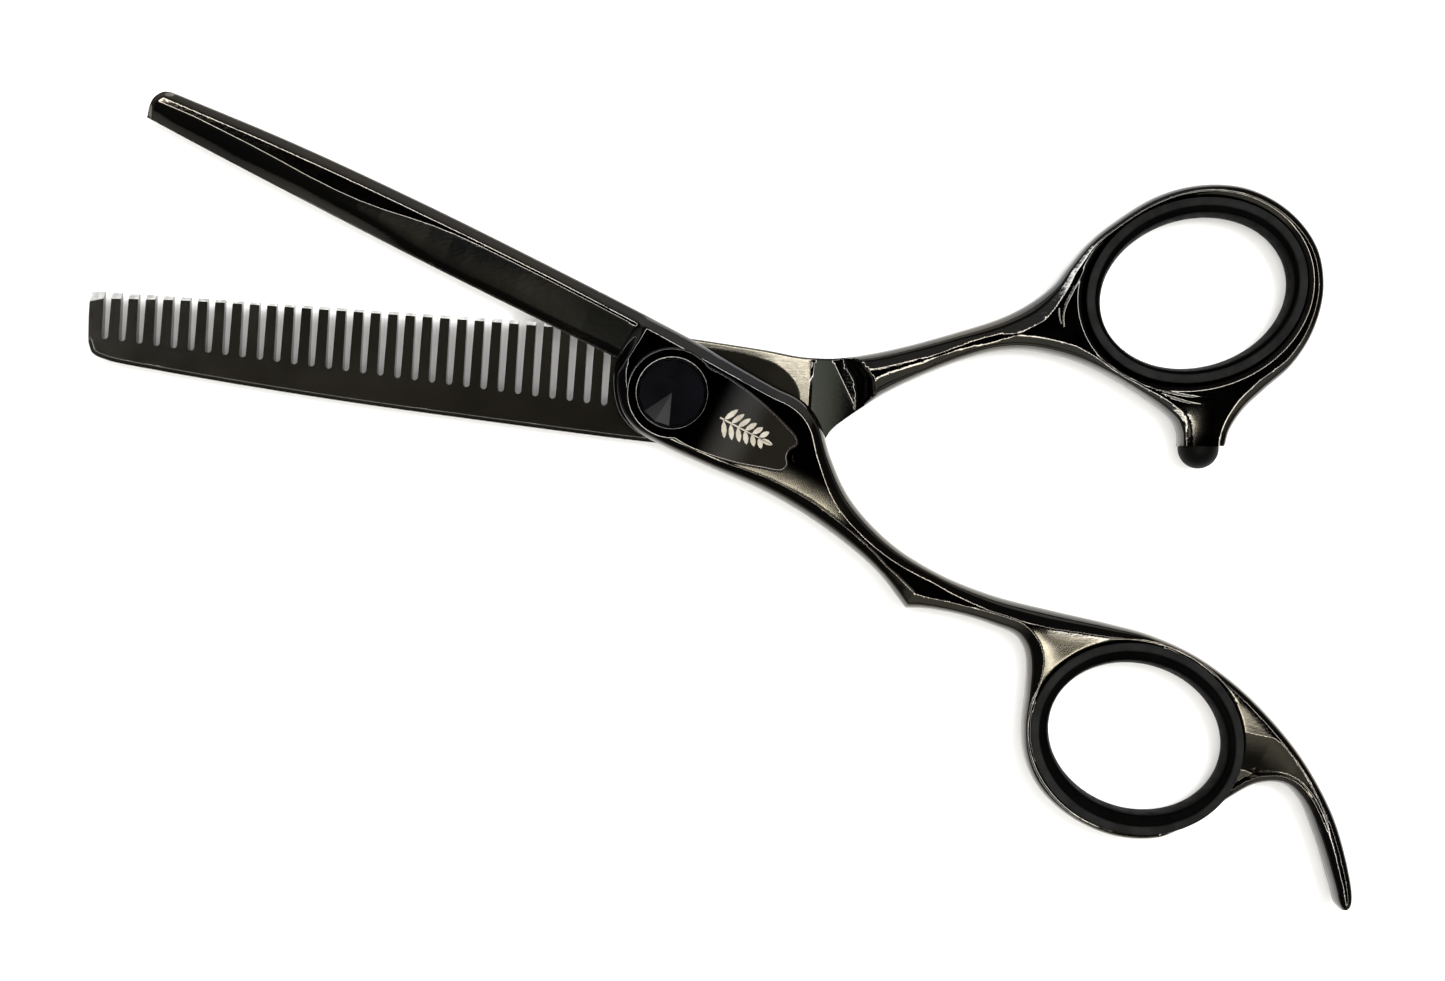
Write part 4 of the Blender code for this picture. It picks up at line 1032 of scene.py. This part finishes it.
    bore = ellipse(THUMB_CENTRE, grown(THUMB_LIP, -LIP_OVERLAP), THUMB_TILT, 200)
    lines = [[(x, float(bevel_foot(x))) for x in (left + 0.09, right - 0.09)]
             for left, right in tooth_spans()]
    lines += [[(x, y) for y in np.arange(-3.6, 4.9, 0.3)]
              for x in (STEP_START, 16.15, 16.3, STEP_END)]
    lines += [[tuple(point) for point in ride[14:-24]]]
    lines += [[(tang_corner(y) + shift, y) for y in np.arange(0.6, 4.9, 0.2)]
              for shift in (-0.12, 0.0, 0.12)]
    rows = [beside(line, (-0.24, -0.16, -0.08, 0.0, 0.08, 0.16, 0.24)) for line in THUMB_BEADS]
    rows += [ellipse(THUMB_CENTRE, grown(THUMB_LIP, away), THUMB_TILT, 300)
             for away in (0.15, 0.35, 0.55, 0.68, 0.76, 0.84, 0.92, 1.02, 1.15)]
    rows = np.vstack(rows)
    from_top, top_width = top_track.with_band(rows)
    from_low, low_width = low_track.with_band(rows)
    rows = [rows[np.minimum(from_top - top_width, from_low - low_width) > 0.4]]
    rows.append(beside(RIDE_EDGE, (-0.2, -0.08, 0.08, 0.2)))
    holes = [bore, circle(PIVOT_HOLE_RADIUS)]
    relief = Relief(outline, band, plain_edge, holes, HALF_GRID, lines, rows)
    half = relief_mesh("toothed_half_detailed", relief, low_height, top_height, TOOTHED_ANGLE,
                       [COATED, BARE], finish, [("satin", satin_and_sheen_paint), ("hollow", worked_and_sheen_paint)])
    settle(half, "thumb_half", "toothed_half")


# Ring inserts

# Upper half of an insert's section: how far each row of points lies outside the lip's ellipse or
# the bore's, and its height
INSERT_TOP_Z = HANDLE_TOP_Z + 0.5
INSERT_LIP = [
    (-0.25, 5.5), (-0.03, 5.56), (0.0, 5.75), (-0.05, INSERT_TOP_Z - 0.06), (-0.16, INSERT_TOP_Z),
    (-0.78, INSERT_TOP_Z), (-0.9, INSERT_TOP_Z - 0.05), (-0.98, INSERT_TOP_Z - 0.2),
    (-1.05, INSERT_TOP_Z - 0.42)]
INSERT_BORE = [
    (0.62, INSERT_TOP_Z - 0.5), (0.5, INSERT_TOP_Z - 0.56), (0.38, INSERT_TOP_Z - 0.8),
    (0.2, INSERT_TOP_Z - 1.6), (0.05, INSERT_TOP_Z - 2.4)]


def build_insert(name, body, node, angle, centre, bore_centre, bore, lip, tilt):
    """Rubber spool: a flat lip, a groove, a low inner ring and a bulged bore."""
    upper = [(centre, lip, *point) for point in INSERT_LIP]
    upper += [(bore_centre, bore, *point) for point in INSERT_BORE]
    rows = upper + [(bore_centre, bore, 0.0, CONTACT_Z)]
    rows += [(place, axes, amount, 2 * CONTACT_Z - z) for place, axes, amount, z in reversed(upper)]
    rows += [(centre, lip, -LIP_OVERLAP - 0.1, 0.6), (centre, lip, -LIP_OVERLAP - 0.1, 5.4)]
    sides = 192
    bm = bmesh.new()
    rings = []
    for place, axes, amount, z in rows:
        loop = ellipse(place, grown(axes, amount), tilt, sides)
        rings.append([bm.verts.new((x * MM, y * MM, z * MM)) for x, y in loop])
    for lower, upper_ring in zip(rings, rings[1:] + rings[:1]):
        for i in range(sides):
            j = (i + 1) % sides
            bm.faces.new((lower[i], lower[j], upper_ring[j], upper_ring[i]))
    bmesh.ops.recalc_face_normals(bm, faces=bm.faces)
    bmesh.ops.rotate(bm, verts=bm.verts, matrix=Matrix.Rotation(math.radians(angle), 3, 'Z'))
    piece = object_from(name, bm, RUBBER, 50.0)
    settle(piece, body, node)


def object_from(name, bm, finish, sharp=35.0):
    """An object shaded smooth up to the sharp angle, or flat where that is 0."""
    mesh = bpy.data.meshes.new(name)
    bm.to_mesh(mesh)
    bm.free()
    mesh.materials.append(finish)
    if sharp:
        mesh.shade_smooth()
        mesh.set_sharp_from_angle(angle=math.radians(sharp))
    return linked(name, mesh)


def turned(profile, sides, closed=False):
    """A body turned about the pivot axis from (radius, height) points in millimetres."""
    bm = bmesh.new()
    rows = []
    for radius, height in profile:
        if radius < 1e-9:
            rows.append([bm.verts.new((0.0, 0.0, height * MM))])
        else:
            rows.append([bm.verts.new((x * MM, y * MM, height * MM))
                         for x, y in circle(radius, sides=sides)])
    pairs = list(zip(rows, rows[1:]))
    if closed:
        pairs.append((rows[-1], rows[0]))
    for lower, upper in pairs:
        for i in range(sides):
            corners = [lower[i % len(lower)], lower[(i + 1) % len(lower)],
                       upper[(i + 1) % len(upper)], upper[i % len(upper)]]
            unique = list(dict.fromkeys(corners))
            if len(unique) > 2:
                bm.faces.new(unique)
    bmesh.ops.recalc_face_normals(bm, faces=bm.faces)
    return bm


# Dial, jewel, plate, pin and bumper

def build_dial():
    profile = [(1.55, 5.0), (2.1, 5.0), (2.1, 6.55), (3.5, 6.55), (3.5, 6.0), (4.15, 6.0),
               (4.22, 6.07), (4.24, 6.8), (4.23, 7.05), (4.2, 7.094), (4.18, 7.1), (3.94, 7.1),
               (3.91, 7.07), (3.9, 6.8), (1.55, 6.8)]
    piece = object_from("tension_dial_detailed", turned(profile, 160, closed=True), COATED, 30.0)
    settle(piece, "dial", "tension_dial")


def build_jewel():
    """Stone with a girdle and a ring of facets that meet in a point."""
    facets, radius = 14, 3.84
    base_z, girdle_z, point_z = 6.81, 6.84, 7.2
    bm = bmesh.new()
    turns = [2 * math.pi * (i + 0.3) / facets for i in range(facets)]
    base, girdle = ([bm.verts.new((radius * math.cos(t) * MM, radius * math.sin(t) * MM, z * MM))
                     for t in turns] for z in (base_z, girdle_z))
    point = bm.verts.new((0.0, 0.0, point_z * MM))
    bm.faces.new(list(reversed(base)))
    for i in range(facets):
        j = (i + 1) % facets
        bm.faces.new((base[i], base[j], girdle[j], girdle[i]))
        bm.faces.new((girdle[i], girdle[j], point))
    bmesh.ops.recalc_face_normals(bm, faces=bm.faces)
    piece = object_from("dial_jewel_cut", bm, STONE, 0.0)
    settle(piece, "dial", "dial_jewel")


def plate_loop():
    """Round head about the dial, tapering to a notched tail that clears the pin."""
    start, half = math.radians(PLATE_HEAD_TURN), math.radians(NOTCH_HALF_TURN)
    head = arc((0.0, 0.0), PLATE_HEAD_RADIUS, start, 2 * math.pi - 2 * start, 80)
    notch = arc(PIN_PLACE, NOTCH_RADIUS, math.pi + half, -2 * half, 12)
    low_side = smooth_run([head[-1]] + PLATE_LOW_SIDE, 0.25)[1:]
    tail = smooth_run([PLATE_LOW_SIDE[-1], notch[0]], 0.25)
    rise = smooth_run([notch[-1], PLATE_TOP_SIDE[0]], 0.25)[1:]
    top_side = smooth_run(PLATE_TOP_SIDE + [head[0]], 0.25)
    return np.vstack([head, low_side, tail, notch, rise, top_side])


def build_plate():
    loop = plate_loop()
    edge = Track(loop, closed=True)

    def top_height(p):
        x, y = p.T
        bend = 0.014 * positive(x - 6.0)
        rim = edge(p)
        glint = np.where(y > 0.9 - 0.08 * x, 0.32, 0.17)
        side = bevel(rim, 0.2, glint, 0.02) + bevel(rim, 0.07, 0.6, 0.02)
        return PLATE_TOP_Z - side - 0.1 * bend

    # Painted sheen: the plate turns satin brown towards its tail, standing in for the brown-grey
    # reflection there.
    def satin_and_sheen_paint(p):
        return rise(p[:, 0], 5.0, 7.0)

    relief = Relief(loop, np.full(len(loop), 0.16), np.zeros(len(loop), bool), [circle(2.25)], 0.4)
    plate = relief_mesh("tension_plate_detailed", relief, lambda p: np.full(len(p), 5.55), top_height,
                        PLAIN_ANGLE, [COATED], paint=[("satin", satin_and_sheen_paint)])
    settle(plate, "finger_half", "tension_plate")


def leaf(root, turn, length, width):
    """Outline of a pointed leaf that grows from its root in a direction in degrees."""
    half = [(0.0, 0.0), (0.3, 0.42), (0.6, 0.5), (0.85, 0.3), (1.0, 0.0)]
    outline = half + [(along, -across) for along, across in reversed(half[1:-1])]
    c, s = math.cos(math.radians(turn)), math.sin(math.radians(turn))
    return [(root[0] + c * along * length - s * across * width,
             root[1] + s * along * length + c * across * width) for along, across in outline]


def build_ornament():
    """A plain etched sprig on the tension plate."""
    low, high = 6.3, 13.0
    shapes = [[(low, -0.22), (high, -0.36), (high, -0.28), (low, 0.0)]]
    for step in range(6):
        share = step / 5
        root = (low + 0.5 + share * 4.6, -0.2)
        length = 2.1 - 0.75 * share
        for side in (1, -1):
            shapes.append(leaf(root, side * (62.0 - 8.0 * share), length, 0.62))
    shapes.append(leaf((11.6, -0.3), 0.0, 1.6, 0.6))
    bm = bmesh.new()
    z = (PLATE_TOP_Z - 0.07) * MM
    for shape in shapes:
        bm.faces.new([bm.verts.new((x * MM, y * MM, z)) for x, y in shape])
    solid = bmesh.ops.extrude_face_region(bm, geom=bm.faces[:])
    raised = [v for v in solid["geom"] if isinstance(v, bmesh.types.BMVert)]
    bmesh.ops.translate(bm, verts=raised, vec=(0.0, 0.0, 0.075 * MM))
    bmesh.ops.recalc_face_normals(bm, faces=bm.faces)
    bmesh.ops.rotate(bm, verts=bm.verts, matrix=Matrix.Rotation(math.radians(PLAIN_ANGLE), 3, 'Z'))
    piece = object_from("plate_ornament", bm, ETCHED)
    settle(piece, "finger_half", None)


def build_pin():
    profile = [(0.0, 4.65), (0.6, 4.65), (0.6, 5.87), (0.58, 5.9), (0.0, 5.9)]
    bm = turned(profile, 40)
    spin = Matrix.Rotation(math.radians(PLAIN_ANGLE), 3, 'Z')
    place = spin @ Vector((PIN_PLACE[0] * MM, PIN_PLACE[1] * MM, 0.0))
    bmesh.ops.translate(bm, verts=bm.verts, vec=place)
    piece = object_from("locator_pin_detailed", bm, COATED)
    settle(piece, "finger_half", "locator_pin")


def build_bumper():
    """Ball-ended rubber stop on its stem, turned about an axis along +Y."""
    low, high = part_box("rubber_bumper")
    radius, base = 2.4, 2.8
    length = (high[1] - low[1]) / MM
    profile = [(0.0, 0.0)]
    for step in range(1, 17):
        turn = math.pi / 2 * step / 16
        profile.append((radius * math.sin(turn), base * (1 - math.cos(turn)) * 0.85))
    profile += [(radius, base - 0.12), (radius - 0.03, base - 0.04), (radius - 0.12, base),
                (1.0, base), (1.0, length), (0.0, length)]
    bm = turned(profile, 64)
    lie_down = Matrix.Rotation(math.radians(-90), 4, 'X')
    place = Matrix.Translation(((low[0] + high[0]) / 2, low[1], CONTACT_Z * MM)) @ lie_down
    bmesh.ops.transform(bm, verts=bm.verts, matrix=place)
    piece = object_from("rubber_bumper_detailed", bm, BUMPER_RUBBER)
    settle(piece, "thumb_half", "rubber_bumper")


def dress_cad_nodes():
    """Give every CAD node that stays the finish of its material slot."""
    slots = {part["node"]: part["material_slot"] for part in frame["record"]["subparts"]}
    for name, node in frame["nodes"].items():
        node.data.materials.clear()
        node.data.materials.append(FINISHES[slots[name]])


# Floor, light and camera

def build_stage():
    bpy.ops.mesh.primitive_plane_add(size=4.0, location=(0.0, 0.0, -0.00002))
    floor = bpy.context.object
    floor.name = "floor"
    material, _, inputs = node_material("pale_floor")
    inputs["Base Color"].default_value = (0.86, 0.86, 0.86, 1.0)
    inputs["Roughness"].default_value = 0.7
    inputs["Specular IOR Level"].default_value = 0.05
    floor.data.materials.append(material)


def build_world():
    """Light tent: dark lens opening overhead with a bright rim, dim walls, pale horizon.

    Colours are set by the angle from straight up, in shares of a right angle.
    """
    world = bpy.data.worlds.new("studio")
    bpy.context.scene.world = world
    world.use_nodes = True
    tree = world.node_tree
    background = tree.nodes["Background"]
    place = tree.nodes.new("ShaderNodeTexCoord")
    split = tree.nodes.new("ShaderNodeSeparateXYZ")
    tree.links.new(place.outputs["Generated"], split.inputs["Vector"])
    x, y, z = split.outputs
    angle = calculate(tree, 'DIVIDE', calculate(tree, 'ARCCOSINE', z, None), math.pi / 2)
    reach = calculate(tree, 'SQRT', calculate(tree, 'SUBTRACT', 1.0001,
                                              calculate(tree, 'MULTIPLY', z, z)), None)

    def facing(azimuth):
        """How far a direction points to an azimuth, from -1 to 1."""
        turn = math.radians(azimuth)
        side = calculate(tree, 'ADD', calculate(tree, 'MULTIPLY', x, math.cos(turn)),
                         calculate(tree, 'MULTIPLY', y, math.sin(turn)))
        return calculate(tree, 'DIVIDE', side, reach)

    def patch(stops, strength, share=None):
        scale = tree.nodes.new("ShaderNodeVectorMath")
        scale.operation = 'SCALE'
        tree.links.new(ramp(tree, angle, stops), scale.inputs[0])
        scale.inputs["Scale"].default_value = strength
        if share is not None:
            tree.links.new(calculate(tree, 'MULTIPLY', share, strength), scale.inputs["Scale"])
        return scale.outputs[0]

    warm, dim = (1.0, 0.97, 0.9), (0.13, 0.14, 0.16)
    total = patch([(0.192, 0.0), (0.2, warm), (0.236, warm), (0.246, 0.0)], 17.0)
    sides_share = calculate(tree, 'POWER', calculate(tree, 'ABSOLUTE', facing(90.0), None), 1.5)
    parts = [patch([(0.235, 0.0), (0.25, dim), (0.38, 0.045), (0.62, 0.035), (0.64, 0.14)], 1.0),
             patch([(0.60, 0.0), (0.66, (0.4, 0.4, 0.36)), (0.78, (1.0, 0.98, 0.92)), (1.0, 0.8)],
                   0.5, sides_share)]
    # Patches on one side: the azimuth, where facing it starts and ends to count, strength, stops
    for azimuth, start, end, strength, stops in (
            (290.0, 0.45, 0.62, 0.46,
             [(0.24, 0.0), (0.27, (0.9, 0.92, 0.78)), (0.39, (0.9, 0.9, 0.74)), (0.5, 0.0)]),
            (105.0, 0.75, 0.9, 0.28, [(0.25, 0.0), (0.28, 0.8), (0.36, 0.45), (0.46, 0.0)]),
            (2.0, 0.90, 0.97, 0.9,
             [(0.24, 0.0), (0.265, (0.85, 0.95, 0.8)), (0.32, (0.6, 0.68, 0.55)), (0.37, 0.0)]),
            (232.0, 0.93, 0.97, 0.75, [(0.09, 0.0), (0.11, 1.0), (0.18, 1.0), (0.19, 0.0)])):
        parts.append(patch(stops, strength, ramp(tree, facing(azimuth), [(start, 0.0), (end, 1.0)])))
    for part in parts:
        add = tree.nodes.new("ShaderNodeVectorMath")
        add.operation = 'ADD'
        tree.links.new(total, add.inputs[0])
        tree.links.new(part, add.inputs[1])
        total = add.outputs[0]
    tree.links.new(total, background.inputs["Color"])
    background.inputs["Strength"].default_value = 1.0


def build_lights():
    """A large soft box from the upper right and a fill; the world alone shows in the metal."""
    for name, azimuth, zenith, size, power in (("key", 30.0, 36.0, 0.45, 6.6),
                                               ("fill", 200.0, 20.0, 0.6, 3.2)):
        data = bpy.data.lights.new(name, 'AREA')
        data.size = size
        data.energy = power
        lamp = linked(name, data)
        turn, tilt = math.radians(azimuth), math.radians(zenith)
        away = Vector((math.sin(tilt) * math.cos(turn), math.sin(tilt) * math.sin(turn),
                       math.cos(tilt)))
        lamp.location = away * 0.7
        lamp.rotation_euler = away.to_track_quat('Z', 'Y').to_euler()
        lamp.visible_glossy = False


def build_camera():
    """Straight above the shears."""
    data = bpy.data.cameras.new("camera")
    data.sensor_width = 36.0
    data.lens = 63.35
    camera = linked("camera", data)
    camera.location = (0.00589, -0.01138, 0.303)
    bpy.context.scene.camera = camera


dress_cad_nodes()
build_plain_half()
build_toothed_half()
build_insert("thumb_insert_detailed", "thumb_half", "thumb_ring_insert", TOOTHED_ANGLE,
             THUMB_CENTRE, THUMB_BORE_CENTRE, THUMB_BORE, THUMB_LIP, THUMB_TILT)
build_insert("finger_insert_detailed", "finger_half", "finger_ring_insert", PLAIN_ANGLE,
             FINGER_CENTRE, FINGER_BORE_CENTRE, FINGER_BORE, FINGER_LIP, FINGER_TILT)
build_dial()
build_jewel()
build_plate()
build_ornament()
build_pin()
build_bumper()
build_stage()
build_world()
build_lights()
build_camera()
bpy.context.scene.view_settings.view_transform = 'Standard'
